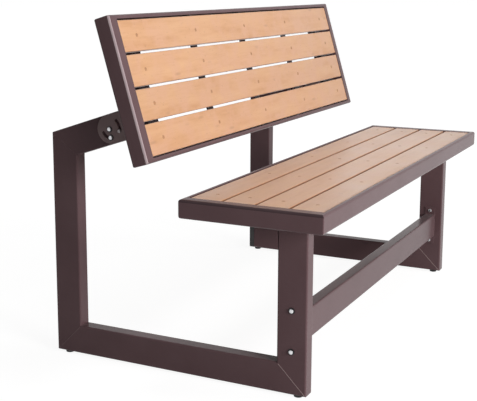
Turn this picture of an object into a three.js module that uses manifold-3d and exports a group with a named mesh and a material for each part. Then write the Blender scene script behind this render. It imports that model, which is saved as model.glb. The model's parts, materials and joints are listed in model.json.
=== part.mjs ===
// A garden bench whose backrest swings over its arms to become a table top.
// Lengths are millimetres. X runs along the bench, the seat faces -Y and Z is up.
// The origin lies on the ground below the middle of the bench, and left is -X.

import * as THREE from 'three';
import { RoundedBoxGeometry } from 'three/addons/geometries/RoundedBoxGeometry.js';
import { mergeVertices } from 'three/addons/utils/BufferGeometryUtils.js';
import Module from 'manifold-3d';

const wasm = await Module();
wasm.setup();

// Clearances
const FIT_GAP = 0.3;
const HINGE_GAP = 0.5;
const SLIDE_CLEARANCE = 0.4;
const OVERRUN = 1;
const MERGE_TOLERANCE = 0.0001;

// The seat and the backrest are the same framed panel
const PANEL_LENGTH = 1397;
const PANEL_WIDTH = 360;
const PANEL_THICKNESS = 46;
const RIM_WALL = 2.5;
const RIM_LIP = 11;
const RIM_BACK_LIP = 15;
const RIM_EDGE_RADIUS = 6;
const END_RAIL_WIDTH = 29.5;
const SLAT_COUNT = 4;
const SLAT_GAP = 6.5;
const SLAT_THICKNESS = 16;
const SLAT_RECESS = 1.5;
const SLAT_EDGE_RADIUS = 2.5;
const SLAT_END_GAP = 0.8;
const CROSS_COUNT = 5;
const END_CROSS_INSET = 100.5;
const MIDDLE_CROSS_WIDTH = 35;
const MIDDLE_CROSS_THICKNESS = 3;
const MIDDLE_CROSS_RADIUS = 0.8;
const END_CROSS_WIDTH = 50;
const END_CROSS_WALL = 2;
const END_CROSS_RADIUS = 3;

// Side frames of rectangular tube
const BENCH_DEPTH = 775;
const SEAT_HEIGHT = 470;
const SEAT_FRONT_OVERHANG = 70;
const FRAME_INSET = 86.5;
const TUBE_THICKNESS = 38;
const TUBE_DEPTH = 75;
const TUBE_WALL = 2;
const TUBE_RADIUS = 4;
const REAR_CORNER_HEIGHT = 588;
const ARM_SLOPE = THREE.MathUtils.degToRad(18.3);
const ARM_PIVOT_DISTANCE = 149.1;
const ARM_NOSE_LENGTH = 30;
const ARM_NOSE_WALL = 3;
const BEARER_DEPTH = 68.5;
const BEARER_LENGTH = 60.5;
const BEARER_CAP_LENGTH = 12;
const BEARER_PLUG_LENGTH = 10;

// Glide feet
const FOOT_HEIGHT = 8;
const FOOT_RADIUS = 11;
const FOOT_INSET = 26;
const FOOT_CHAMFER = 1.5;
const FOOT_STEM_RADIUS = 4;
const FOOT_STEM_LENGTH = 12;

// Stretcher between the front legs
const STRETCHER_DEPTH = 75;
const STRETCHER_WIDTH = 33;
const STRETCHER_BOTTOM = 126.5;
const END_PLATE_THICKNESS = 4;
const END_PLATE_REACH = 24;
const END_PLATE_VENT_RADIUS = 6;
const STRETCHER_BOLT_REACH = 12.5;

// Bolts
const BOLT_RADIUS = 3;
const BOLT_HEAD_RADIUS = 5.3;
const BOLT_HEAD_HEIGHT = 4;
const BOLT_DOME_HEIGHT = 2;
const DOME_WIDTH_SHARE = 0.7;
const DOME_DROP_SHARE = 0.25;
const WASHER_RADIUS = 7.8;
const WASHER_THICKNESS = 1.6;
const NUT_RADIUS = 5.8;
const NUT_HEIGHT = 5;
const NUT_SIDES = 6;

// Hinge brackets under the backrest, each with two cheeks around an arm
const BACK_TILT = THREE.MathUtils.degToRad(16.5);
const BACK_OFFSET = 88;
const BACK_BELOW_PIVOT = 104.7;
const CHEEK_THICKNESS = 5;
const CHEEK_RADIUS = 36;
const BASE_THICKNESS = 5;
const BASE_HALF_HEIGHT = 50;
const BASE_WIDTH = 60;
const PIVOT_RADIUS = 5;
const HINGE_HEAD_RADIUS = 5.5;
const HINGE_WASHER_RADIUS = 8;
const HINGE_NUT_RADIUS = 7.5;
const STOP_ORBIT = 20.8;
const STOP_RADIUS = 3.5;
const STOP_ANGLE = THREE.MathUtils.degToRad(-80);
const SWING = THREE.MathUtils.degToRad(73.5);
const ADJUST_ORBIT = 29;
const ADJUST_RADIUS = 4;
const ADJUST_HEAD_RADIUS = 4.8;
const ADJUST_ANGLE = THREE.MathUtils.degToRad(-21.5);
const ADJUST_SWEEP = THREE.MathUtils.degToRad(55);

// Release levers
const LEVER_PIN_RADIUS = 3.5;
const LEVER_PIN_ACROSS = -2;
const LEVER_PIN_OUT = 67;
const LEVER_SLANT = THREE.MathUtils.degToRad(9);
const LEVER_HUB_RADIUS = 7;
const LEVER_HUB_WIDTH = 14;
const LEVER_ROD_RADIUS = 4;
const LEVER_ROD_LENGTH = 68;
const LEVER_NOTCH_START = 8;
const LEVER_NOTCH_INNER = 60;
const LEVER_NOTCH_OUTER = 71;
const GRIP_RADIUS = 6;
const GRIP_START = 32;
const GRIP_END = 72;
const GRIP_ROUNDING = 2;

// How finely round shapes are divided
const CORNER_STEPS = 3;
const EDGE_STEPS = 3;
const ROUND_STEPS = 16;
const CHEEK_STEPS = 12;
const SLOT_STEPS = 8;
const SLOT_END_STEPS = 4;

// Places worked out from the sizes above
const seatFrontY = -BENCH_DEPTH / 2;
const frameRearY = BENCH_DEPTH / 2;
const frontLegY = seatFrontY + SEAT_FRONT_OVERHANG + TUBE_DEPTH / 2;
const rearLegY = frameRearY - TUBE_DEPTH / 2;
const frontFootY = seatFrontY + SEAT_FRONT_OVERHANG + FOOT_INSET;
const rearFootY = frameRearY - FOOT_INSET;
const railZ = FOOT_HEIGHT + TUBE_DEPTH / 2;
const seatUndersideZ = SEAT_HEIGHT - PANEL_THICKNESS;
const frameOuterX = PANEL_LENGTH / 2 - FRAME_INSET;
const frameInnerX = frameOuterX - TUBE_THICKNESS;
const frameX = frameOuterX - TUBE_THICKNESS / 2;
const cornerTurn = (Math.PI / 2 - ARM_SLOPE) / 2;
const armCornerZ = REAR_CORNER_HEIGHT - (TUBE_DEPTH / 2) * Math.tan(cornerTurn);
const pivotY = rearLegY - ARM_PIVOT_DISTANCE * Math.cos(ARM_SLOPE);
const pivotZ = armCornerZ + ARM_PIVOT_DISTANCE * Math.sin(ARM_SLOPE);
const cheekOuterX = frameOuterX + HINGE_GAP + CHEEK_THICKNESS;
const cheekInnerX = frameInnerX - HINGE_GAP - CHEEK_THICKNESS;
const stretcherZ = STRETCHER_BOTTOM + STRETCHER_DEPTH / 2;
const endCrossX = PANEL_LENGTH / 2 - END_CROSS_INSET;
const crossHeight = PANEL_THICKNESS - SLAT_RECESS - SLAT_THICKNESS - FIT_GAP;

// Finishes
const framePaint = new THREE.MeshStandardMaterial({ color: 0x4c3d40, roughness: 0.5, metalness: 0.3 });
const slatWood = new THREE.MeshStandardMaterial({ color: 0xd9a57e, roughness: 0.7, metalness: 0 });
const boltSteel = new THREE.MeshStandardMaterial({ color: 0xd2d2d6, roughness: 0.3, metalness: 1 });
const blackPlastic = new THREE.MeshStandardMaterial({ color: 0x141414, roughness: 0.6, metalness: 0 });
const leverSteel = new THREE.MeshStandardMaterial({ color: 0x2a2a2c, roughness: 0.4, metalness: 0.8 });

const axisX = new THREE.Vector3(1, 0, 0);
const axisY = new THREE.Vector3(0, 1, 0);
const axisZ = new THREE.Vector3(0, 0, 1);

// A closed geometry as a solid that can be cut and joined.
function toSolid(geometry) {
  const bare = geometry.clone();
  bare.deleteAttribute('normal');
  bare.deleteAttribute('uv');
  const merged = mergeVertices(bare, MERGE_TOLERANCE);
  const vertProperties = new Float32Array(merged.attributes.position.array);
  const triVerts = new Uint32Array(merged.index.array);
  return new wasm.Manifold(new wasm.Mesh({ numProp: 3, vertProperties, triVerts }));
}

// A solid back as a three.js geometry.
function toGeometry(solid) {
  const mesh = solid.getMesh();
  const geometry = new THREE.BufferGeometry();
  geometry.setAttribute('position', new THREE.BufferAttribute(mesh.vertProperties, mesh.numProp));
  geometry.setIndex(new THREE.BufferAttribute(mesh.triVerts, 1));
  geometry.computeVertexNormals();
  return geometry;
}

// The first solid with all the others taken away.
function cutAll(solid, cutters) {
  return cutters.reduce((left, cutter) => left.subtract(cutter), solid);
}

// Points on an arc, from one angle to the other.
function arc(centre, radius, from, to, steps) {
  return Array.from({ length: steps + 1 }, (_, i) => {
    const angle = from + ((to - from) * i) / steps;
    return new THREE.Vector2(centre.x + radius * Math.cos(angle), centre.y + radius * Math.sin(angle));
  });
}

// A rectangle around the origin with a rounding at each corner.
function roundedRectangle(width, height, radius) {
  const x = width / 2 - radius;
  const y = height / 2 - radius;
  const quarter = Math.PI / 2;
  const centres = [[x, y], [-x, y], [-x, -y], [x, -y]].map(([cx, cy]) => new THREE.Vector2(cx, cy));
  return centres.flatMap((centre, i) => arc(centre, radius, i * quarter, (i + 1) * quarter, CORNER_STEPS));
}

// A flat outline drawn along Z, from zero to its depth.
function extrude(points, depth) {
  const shape = new THREE.Shape(points);
  return new THREE.ExtrudeGeometry(shape, { depth, bevelEnabled: false });
}

// An outline in Y and Z drawn along X between two places, in either order.
function extrudeAlongX(points, fromX, toX) {
  const geometry = extrude(points, Math.abs(toX - fromX));
  geometry.applyMatrix4(new THREE.Matrix4().makeBasis(axisY, axisZ, axisX));
  geometry.translate(Math.min(fromX, toX), 0, 0);
  return geometry;
}

// A plain block between two opposite corners, in either order.
function block(a, b) {
  const size = new THREE.Vector3().subVectors(b, a);
  const geometry = new THREE.BoxGeometry(Math.abs(size.x), Math.abs(size.y), Math.abs(size.z));
  geometry.translate((a.x + b.x) / 2, (a.y + b.y) / 2, (a.z + b.z) / 2);
  return geometry;
}

// A round bar along X between two places, in either order.
function barAlongX(radius, fromX, toX, y, z) {
  const geometry = new THREE.CylinderGeometry(radius, radius, Math.abs(toX - fromX), ROUND_STEPS);
  geometry.rotateZ(Math.PI / 2);
  geometry.translate((fromX + toX) / 2, y, z);
  return geometry;
}

// A bar of tube section along Z, with slanted ends: each slope is the rise of the end across Y.
function tubeBar(width, depth, radius, fromZ, toZ, startSlope, endSlope) {
  const geometry = extrude(roundedRectangle(width, depth, radius), toZ - fromZ);
  const middle = (toZ - fromZ) / 2;
  const position = geometry.attributes.position;
  for (let i = 0; i < position.count; i += 1) {
    const slope = position.getZ(i) < middle ? startSlope : endSlope;
    position.setZ(i, position.getZ(i) + fromZ + slope * position.getY(i));
  }
  return toSolid(geometry);
}

// A hollow tube along Z. An end wall closes its far end, and without one both ends are open.
function tube(section, fromZ, toZ, startSlope, endSlope, endWall) {
  const { width, depth, radius, wall } = section;
  const outer = tubeBar(width, depth, radius, fromZ, toZ, startSlope, endSlope);
  const overrun = OVERRUN + depth;
  const boreEnd = endWall ? toZ - endWall : toZ + overrun;
  const bore = tubeBar(width - 2 * wall, depth - 2 * wall, radius - wall, fromZ - overrun, boreEnd, 0, 0);
  return outer.subtract(bore);
}

// How far a mitred end stands back along its tube, so that the weld gap lies between the two.
function mitreSetback(turn) {
  return FIT_GAP / 2 / Math.cos(turn);
}

// A named mesh at a place.
function piece(name, geometry, material, x, y, z) {
  const mesh = new THREE.Mesh(geometry, material);
  mesh.name = name;
  mesh.position.set(x, y, z);
  return mesh;
}

// Long rail of a panel rim: a channel that opens inward, along X at the -Y side, wider at its back.
function longRailGeometry() {
  const outer = -PANEL_WIDTH / 2;
  const lip = outer + RIM_LIP;
  const backLip = outer + RIM_BACK_LIP;
  const radius = RIM_EDGE_RADIUS;
  const innerRadius = radius - RIM_WALL;
  const top = PANEL_THICKNESS;
  const low = new THREE.Vector2(outer + radius, radius);
  const high = new THREE.Vector2(outer + radius, top - radius);
  const points = [
    new THREE.Vector2(backLip, 0),
    new THREE.Vector2(backLip, RIM_WALL),
    ...arc(low, innerRadius, -Math.PI / 2, -Math.PI, EDGE_STEPS),
    ...arc(high, innerRadius, Math.PI, Math.PI / 2, EDGE_STEPS),
    new THREE.Vector2(lip, top - RIM_WALL),
    new THREE.Vector2(lip, top),
    ...arc(high, radius, Math.PI / 2, Math.PI, EDGE_STEPS),
    ...arc(low, radius, Math.PI, (3 * Math.PI) / 2, EDGE_STEPS),
  ];
  const end = PANEL_LENGTH / 2 - END_RAIL_WIDTH - FIT_GAP;
  return extrudeAlongX(points, -end, end);
}

// End rail of a panel rim: a rounded cap, open underneath, at the +X end.
function endRailGeometry() {
  const outerX = PANEL_LENGTH / 2;
  const innerX = outerX - END_RAIL_WIDTH;
  const halfWidth = PANEL_WIDTH / 2;
  const rounded = new RoundedBoxGeometry(
    2 * END_RAIL_WIDTH, PANEL_WIDTH, PANEL_THICKNESS, EDGE_STEPS - 1, RIM_EDGE_RADIUS);
  rounded.translate(innerX, 0, PANEL_THICKNESS / 2);
  const inside = block(
    new THREE.Vector3(innerX - END_RAIL_WIDTH - OVERRUN, -halfWidth - OVERRUN, -OVERRUN),
    new THREE.Vector3(innerX, halfWidth + OVERRUN, PANEL_THICKNESS + OVERRUN));
  const hollow = block(
    new THREE.Vector3(innerX + RIM_WALL, -halfWidth + RIM_WALL, -OVERRUN),
    new THREE.Vector3(outerX - RIM_WALL, halfWidth - RIM_WALL, PANEL_THICKNESS - RIM_WALL));
  return toGeometry(cutAll(toSolid(rounded), [toSolid(inside), toSolid(hollow)]));
}

// Slat along X, with its two upper edges rounded.
function slatGeometry(width) {
  const half = width / 2;
  const radius = SLAT_EDGE_RADIUS;
  const y = half - radius;
  const z = SLAT_THICKNESS - radius;
  const points = [
    new THREE.Vector2(-half, 0),
    new THREE.Vector2(half, 0),
    ...arc(new THREE.Vector2(y, z), radius, 0, Math.PI / 2, EDGE_STEPS),
    ...arc(new THREE.Vector2(-y, z), radius, Math.PI / 2, Math.PI, EDGE_STEPS),
  ];
  const end = PANEL_LENGTH / 2 - END_RAIL_WIDTH - SLAT_END_GAP;
  return extrudeAlongX(points, -end, end);
}

// End cross member: a tube along Y between the back lips of the two long rails, below the slats.
function endCrossGeometry() {
  const section = {
    width: END_CROSS_WIDTH, depth: crossHeight, radius: END_CROSS_RADIUS, wall: END_CROSS_WALL,
  };
  const reach = PANEL_WIDTH / 2 - RIM_BACK_LIP - FIT_GAP;
  const geometry = toGeometry(tube(section, -reach, reach, 0, 0, 0));
  geometry.rotateX(Math.PI / 2);
  return geometry;
}

// Middle cross member: a flat bar along Y below the slats, from one long rail's web to the other's.
function middleCrossGeometry() {
  const reach = PANEL_WIDTH / 2 - RIM_WALL - FIT_GAP;
  const bar = tubeBar(
    MIDDLE_CROSS_WIDTH, MIDDLE_CROSS_THICKNESS, MIDDLE_CROSS_RADIUS, -reach, reach, 0, 0);
  const geometry = toGeometry(bar);
  geometry.rotateX(Math.PI / 2);
  return geometry;
}

// Framed panel of slats, lying on its underside around the origin.
function framedPanel(prefix) {
  const panel = new THREE.Group();
  const longRail = longRailGeometry();
  const endRail = endRailGeometry();
  for (const [name, geometry, turn] of [
    ['front_rail', longRail, 0], ['rear_rail', longRail, Math.PI],
    ['right_end_rail', endRail, 0], ['left_end_rail', endRail, Math.PI],
  ]) {
    const rail = piece(`${prefix}_${name}`, geometry, framePaint, 0, 0, 0);
    rail.rotation.z = turn;
    panel.add(rail);
  }
  const slatPitch = (PANEL_WIDTH - 2 * RIM_LIP) / SLAT_COUNT;
  const slat = slatGeometry(slatPitch - SLAT_GAP);
  const slatZ = PANEL_THICKNESS - SLAT_RECESS - SLAT_THICKNESS;
  for (let i = 0; i < SLAT_COUNT; i += 1) {
    const y = (i - (SLAT_COUNT - 1) / 2) * slatPitch;
    panel.add(piece(`${prefix}_slat_${i + 1}`, slat, slatWood, 0, y, slatZ));
  }
  const middleCross = middleCrossGeometry();
  const endCross = endCrossGeometry();
  for (let i = 0; i < CROSS_COUNT; i += 1) {
    const x = endCrossX * ((2 * i) / (CROSS_COUNT - 1) - 1);
    const atEnd = i === 0 || i === CROSS_COUNT - 1;
    const geometry = atEnd ? endCross : middleCross;
    const z = crossHeight - (atEnd ? crossHeight : MIDDLE_CROSS_THICKNESS) / 2;
    panel.add(piece(`${prefix}_cross_member_${i + 1}`, geometry, framePaint, x, 0, z));
  }
  return panel;
}

// Bolt along Z from its head, which tops out above zero, down through a grip length to its nut.
function boltGeometry(radius, headRadius, washerRadius, nutRadius, gripLength) {
  const top = WASHER_THICKNESS + BOLT_HEAD_HEIGHT;
  const profile = [
    [0, -gripLength - NUT_HEIGHT],
    [radius, -gripLength - NUT_HEIGHT],
    [radius, 0],
    [washerRadius, 0],
    [washerRadius, WASHER_THICKNESS],
    [headRadius, WASHER_THICKNESS],
    [headRadius, top - BOLT_DOME_HEIGHT],
    [headRadius * DOME_WIDTH_SHARE, top - BOLT_DOME_HEIGHT * DOME_DROP_SHARE],
    [0, top],
  ].map(([r, z]) => new THREE.Vector2(r, z));
  const shank = new THREE.LatheGeometry(profile, ROUND_STEPS);
  const nut = new THREE.CylinderGeometry(nutRadius, nutRadius, NUT_HEIGHT, NUT_SIDES);
  nut.translate(0, -gripLength - NUT_HEIGHT / 2, 0);
  const geometry = toGeometry(toSolid(shank).add(toSolid(nut)));
  geometry.rotateX(Math.PI / 2);
  return geometry;
}

// A bolt turned so that its head looks out along X on its own side of the bench.
function boltAcross(name, geometry, side, headX, y, z) {
  const mesh = piece(name, geometry, boltSteel, side * headX, y, z);
  mesh.rotation.y = (side * Math.PI) / 2;
  return mesh;
}

// Side frame: front leg, bottom rail, rear leg and arm, with mitred corners, a bearer and feet.
function sideFrame(label, side) {
  const frame = new THREE.Group();
  const section = { width: TUBE_THICKNESS, depth: TUBE_DEPTH, radius: TUBE_RADIUS, wall: TUBE_WALL };
  const square = mitreSetback(Math.PI / 4);
  const slanted = mitreSetback(cornerTurn);
  const slope = Math.tan(cornerTurn);

  const legTop = seatUndersideZ - FIT_GAP - railZ;
  const boltHoles = [-1, 1].map((end) => toSolid(barAlongX(
    BOLT_RADIUS + SLIDE_CLEARANCE, -TUBE_THICKNESS, TUBE_THICKNESS, 0, stretcherBoltZ(end) - railZ)));
  const frontLeg = cutAll(tube(section, square, legTop, 1, 0, 0), boltHoles);
  frame.add(piece(`${label}_front_leg`, toGeometry(frontLeg), framePaint, 0, frontLegY, railZ));

  const railLength = rearLegY - frontLegY;
  const stemHoles = [frontFootY, rearFootY].map((footY) => {
    const hole = new THREE.CylinderGeometry(
      FOOT_STEM_RADIUS + FIT_GAP, FOOT_STEM_RADIUS + FIT_GAP, TUBE_DEPTH / 2, ROUND_STEPS);
    hole.translate(0, TUBE_DEPTH / 2, footY - frontLegY);
    return toSolid(hole);
  });
  const bottomRail = cutAll(tube(section, square, railLength - square, -1, 1, 0), stemHoles);
  const rail = piece(`${label}_bottom_rail`, toGeometry(bottomRail), framePaint, 0, frontLegY, railZ);
  rail.rotation.x = -Math.PI / 2;
  frame.add(rail);

  const rearLeg = tube(section, square, armCornerZ - railZ - slanted, -1, slope, 0);
  frame.add(piece(`${label}_rear_leg`, toGeometry(rearLeg), framePaint, 0, rearLegY, railZ));

  const noseEnd = ARM_PIVOT_DISTANCE + ARM_NOSE_LENGTH;
  const stop = stopPlaceOnArm();
  const armHoles = [
    barAlongX(PIVOT_RADIUS + FIT_GAP, -TUBE_THICKNESS, TUBE_THICKNESS, 0, ARM_PIVOT_DISTANCE),
    barAlongX(STOP_RADIUS + FIT_GAP, -TUBE_THICKNESS, TUBE_THICKNESS, stop.y, stop.z),
  ].map(toSolid);
  const armSolid = cutAll(tube(section, slanted, noseEnd, -slope, 0, ARM_NOSE_WALL), armHoles);
  const arm = piece(`${label}_hinge_arm`, toGeometry(armSolid), framePaint, 0, rearLegY, armCornerZ);
  arm.rotation.x = Math.PI / 2 - ARM_SLOPE;
  frame.add(arm);

  const bearerSection = { ...section, depth: BEARER_DEPTH };
  const bearerSolid = tube(bearerSection, FIT_GAP, BEARER_LENGTH, 0, 0, 0);
  const bearerY = frontLegY + TUBE_DEPTH / 2;
  const bearerZ = seatUndersideZ - FIT_GAP - BEARER_DEPTH / 2;
  const bearer = piece(`${label}_seat_bearer`, toGeometry(bearerSolid), framePaint, 0, bearerY, bearerZ);
  bearer.rotation.x = -Math.PI / 2;
  const cap = piece(`${label}_bearer_cap`, bearerCapGeometry(), blackPlastic, 0, bearerY, bearerZ);
  cap.rotation.x = -Math.PI / 2;
  frame.add(bearer, cap);

  const foot = footGeometry();
  frame.add(piece(`${label}_front_foot`, foot, blackPlastic, 0, frontFootY, 0));
  frame.add(piece(`${label}_rear_foot`, foot, blackPlastic, 0, rearFootY, 0));
  frame.position.x = side * frameX;
  return frame;
}

// Where the stop bolt crosses the arm, in the arm's own length Z and height Y.
function stopPlaceOnArm() {
  const angle = STOP_ANGLE - ARM_SLOPE;
  return {
    y: STOP_ORBIT * Math.sin(angle),
    z: ARM_PIVOT_DISTANCE + STOP_ORBIT * Math.cos(angle),
  };
}

// Cap over the bearer's rear end, with a plug that goes into its bore.
function bearerCapGeometry() {
  const shrink = TUBE_WALL + FIT_GAP;
  const start = BEARER_LENGTH + FIT_GAP;
  const head = tubeBar(
    TUBE_THICKNESS, BEARER_DEPTH, TUBE_RADIUS, start, BEARER_LENGTH + BEARER_CAP_LENGTH, 0, 0);
  const plug = tubeBar(
    TUBE_THICKNESS - 2 * shrink, BEARER_DEPTH - 2 * shrink, TUBE_RADIUS - TUBE_WALL,
    start - BEARER_PLUG_LENGTH, start + BEARER_CAP_LENGTH / 2, 0, 0);
  return toGeometry(head.add(plug));
}

// Glide foot, standing on the ground, with a stem that goes up into the rail.
function footGeometry() {
  const top = FOOT_HEIGHT - FIT_GAP;
  const profile = [
    [0, 0],
    [FOOT_RADIUS - FOOT_CHAMFER, 0],
    [FOOT_RADIUS, FOOT_CHAMFER],
    [FOOT_RADIUS, top],
    [FOOT_STEM_RADIUS, top],
    [FOOT_STEM_RADIUS, top + FOOT_STEM_LENGTH],
    [0, top + FOOT_STEM_LENGTH],
  ].map(([r, z]) => new THREE.Vector2(r, z));
  const geometry = new THREE.LatheGeometry(profile, ROUND_STEPS);
  geometry.rotateX(Math.PI / 2);
  return geometry;
}

// Height of the stretcher bolts: end -1 is the one below the stretcher and 1 the one above.
function stretcherBoltZ(end) {
  return stretcherZ + end * (STRETCHER_DEPTH / 2 + STRETCHER_BOLT_REACH);
}

// Stretcher: a tube along X with a plate welded to each end, which two bolts hold to the leg.
function stretcherPiece() {
  const section = { width: STRETCHER_WIDTH, depth: STRETCHER_DEPTH, radius: TUBE_RADIUS, wall: TUBE_WALL };
  const plateX = frameInnerX - FIT_GAP;
  const tubeEnd = plateX - END_PLATE_THICKNESS / 2;
  const bar = toGeometry(tube(section, -tubeEnd, tubeEnd, 0, 0, 0));
  bar.applyMatrix4(new THREE.Matrix4().makeBasis(axisY, axisZ, axisX));
  const reach = STRETCHER_DEPTH / 2 + END_PLATE_REACH;
  let solid = toSolid(bar);
  for (const side of [-1, 1]) {
    const plate = block(
      new THREE.Vector3(side * (plateX - END_PLATE_THICKNESS), -STRETCHER_WIDTH / 2, -reach),
      new THREE.Vector3(side * plateX, STRETCHER_WIDTH / 2, reach));
    solid = solid.add(toSolid(plate));
  }
  const through = frameInnerX + OVERRUN;
  const cutters = [barAlongX(END_PLATE_VENT_RADIUS, -through, through, 0, 0)];
  for (const end of [-1, 1]) {
    const z = stretcherBoltZ(end) - stretcherZ;
    cutters.push(barAlongX(BOLT_RADIUS + SLIDE_CLEARANCE, -through, through, 0, z));
  }
  solid = cutAll(solid, cutters.map(toSolid));
  return piece('stretcher', toGeometry(solid), framePaint, 0, frontLegY, stretcherZ);
}

// The four bolts that hold the stretcher between the front legs.
function stretcherBolts() {
  const bolts = new THREE.Group();
  const gripLength = TUBE_THICKNESS + FIT_GAP + END_PLATE_THICKNESS + 2 * FIT_GAP;
  const geometry = boltGeometry(BOLT_RADIUS, BOLT_HEAD_RADIUS, WASHER_RADIUS, NUT_RADIUS, gripLength);
  for (const [label, side] of [['left', -1], ['right', 1]]) {
    for (const [level, end] of [['lower', -1], ['upper', 1]]) {
      const name = `${label}_${level}_stretcher_bolt`;
      bolts.add(boltAcross(name, geometry, side, frameOuterX + FIT_GAP, frontLegY, stretcherBoltZ(end)));
    }
  }
  return bolts;
}

// Outline of a slot that follows an arc around the pivot, with round ends.
// Angles start at the direction of the backrest and turn toward its top.
function arcSlot(orbit, halfWidth, from, to) {
  const start = Math.PI - to;
  const end = Math.PI - from;
  const pivot = new THREE.Vector2(0, 0);
  const capAt = (angle) => arc(pivot, orbit, angle, angle, 1)[0];
  return [
    ...arc(pivot, orbit + halfWidth, start, end, SLOT_STEPS),
    ...arc(capAt(end), halfWidth, end, end + Math.PI, SLOT_END_STEPS).slice(1, -1),
    ...arc(pivot, orbit - halfWidth, end, start, SLOT_STEPS),
    ...arc(capAt(start), halfWidth, start + Math.PI, start + 2 * Math.PI, SLOT_END_STEPS).slice(1, -1),
  ];
}

// Hinge bracket around the pivot: a base on the backrest's end cross member and two slotted cheeks.
function bracketPiece(label, side) {
  const baseOuter = -(BACK_OFFSET - FIT_GAP);
  const baseInner = baseOuter + BASE_THICKNESS;
  const base = block(
    new THREE.Vector3(side * (endCrossX - BASE_WIDTH / 2), baseOuter, -BASE_HALF_HEIGHT),
    new THREE.Vector3(side * (endCrossX + BASE_WIDTH / 2), baseInner, BASE_HALF_HEIGHT));
  const sunk = (baseOuter + baseInner) / 2;
  const cheekOutline = [
    new THREE.Vector2(sunk, CHEEK_RADIUS),
    new THREE.Vector2(sunk, -CHEEK_RADIUS),
    ...arc(new THREE.Vector2(0, 0), CHEEK_RADIUS, -Math.PI / 2, Math.PI / 2, CHEEK_STEPS),
  ];
  const cheekSpans = [
    [frameOuterX + HINGE_GAP, cheekOuterX],
    [cheekInnerX, frameInnerX - HINGE_GAP],
  ];
  let solid = toSolid(base);
  for (const [from, to] of cheekSpans) {
    solid = solid.add(toSolid(extrudeAlongX(cheekOutline, side * from, side * to)));
  }
  const from = side * (cheekInnerX - OVERRUN);
  const to = side * (cheekOuterX + OVERRUN);
  const restAngle = STOP_ANGLE - BACK_TILT;
  const stopSlot = arcSlot(STOP_ORBIT, STOP_RADIUS + SLIDE_CLEARANCE, restAngle - SWING, restAngle);
  const adjustSlot = arcSlot(
    ADJUST_ORBIT, ADJUST_RADIUS + SLIDE_CLEARANCE, ADJUST_ANGLE, ADJUST_ANGLE + ADJUST_SWEEP);
  const cutters = [
    barAlongX(PIVOT_RADIUS + FIT_GAP, from, to, 0, 0),
    barAlongX(LEVER_PIN_RADIUS + FIT_GAP, from, to, -LEVER_PIN_OUT, LEVER_PIN_ACROSS),
    extrudeAlongX(stopSlot, from, to),
    extrudeAlongX(adjustSlot, from, to),
    block(
      new THREE.Vector3(side * frameOuterX, -LEVER_NOTCH_OUTER, LEVER_NOTCH_START),
      new THREE.Vector3(to, -LEVER_NOTCH_INNER, CHEEK_RADIUS + OVERRUN)),
  ];
  const geometry = toGeometry(cutAll(solid, cutters.map(toSolid)));
  return piece(`${label}_hinge_bracket`, geometry, framePaint, 0, 0, 0);
}

// Short bolt in the lower end of the bracket's outer slot, through the outer cheek alone.
function adjustBoltPiece(label, side) {
  const top = FIT_GAP + WASHER_THICKNESS + BOLT_HEAD_HEIGHT;
  const profile = [
    [0, -CHEEK_THICKNESS],
    [ADJUST_RADIUS, -CHEEK_THICKNESS],
    [ADJUST_RADIUS, FIT_GAP],
    [ADJUST_HEAD_RADIUS, FIT_GAP],
    [ADJUST_HEAD_RADIUS, top - BOLT_DOME_HEIGHT],
    [ADJUST_HEAD_RADIUS * DOME_WIDTH_SHARE, top - BOLT_DOME_HEIGHT * DOME_DROP_SHARE],
    [0, top],
  ].map(([r, z]) => new THREE.Vector2(r, z));
  const geometry = new THREE.LatheGeometry(profile, ROUND_STEPS);
  geometry.rotateX(Math.PI / 2);
  const y = -ADJUST_ORBIT * Math.cos(ADJUST_ANGLE);
  const z = ADJUST_ORBIT * Math.sin(ADJUST_ANGLE);
  return boltAcross(`${label}_adjusting_bolt`, geometry, side, cheekOuterX, y, z);
}

// Release lever: a pin through both cheeks, a hub between them and a rod along the backrest.
function leverPiece(label, side) {
  const pinFrom = cheekInnerX - OVERRUN;
  const pinTo = cheekOuterX + OVERRUN;
  const pin = barAlongX(LEVER_PIN_RADIUS, pinFrom - frameX, pinTo - frameX, 0, 0);
  const hub = barAlongX(LEVER_HUB_RADIUS, -LEVER_HUB_WIDTH / 2, LEVER_HUB_WIDTH / 2, 0, 0);
  const rod = new THREE.CylinderGeometry(
    LEVER_ROD_RADIUS, LEVER_ROD_RADIUS, LEVER_ROD_LENGTH, ROUND_STEPS);
  rod.rotateX(Math.PI / 2);
  rod.translate(0, 0, LEVER_ROD_LENGTH / 2);
  const solid = toSolid(hub).add(toSolid(pin)).add(toSolid(rod));
  return leverPart(`${label}_release_lever`, toGeometry(solid), leverSteel, side);
}

// Black sleeve over the outer end of the lever's rod.
function gripPiece(label, side) {
  const bore = LEVER_ROD_RADIUS + FIT_GAP;
  const floor = LEVER_ROD_LENGTH + FIT_GAP;
  const profile = [
    [bore, GRIP_START],
    [GRIP_RADIUS - GRIP_ROUNDING / 2, GRIP_START],
    [GRIP_RADIUS, GRIP_START + GRIP_ROUNDING / 2],
    [GRIP_RADIUS, GRIP_END - GRIP_ROUNDING],
    [GRIP_RADIUS - GRIP_ROUNDING / 2, GRIP_END - GRIP_ROUNDING / 4],
    [0, GRIP_END],
    [0, floor],
    [bore, floor],
    [bore, GRIP_START],
  ].map(([r, z]) => new THREE.Vector2(r, z));
  const geometry = new THREE.LatheGeometry(profile, ROUND_STEPS);
  geometry.rotateX(Math.PI / 2);
  return leverPart(`${label}_lever_grip`, geometry, blackPlastic, side);
}

// A piece of the lever, placed at its pin and slanted a little away from the backrest.
function leverPart(name, geometry, material, side) {
  const mesh = piece(name, geometry, material, side * frameX, -LEVER_PIN_OUT, LEVER_PIN_ACROSS);
  mesh.rotation.x = -LEVER_SLANT;
  return mesh;
}

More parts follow.
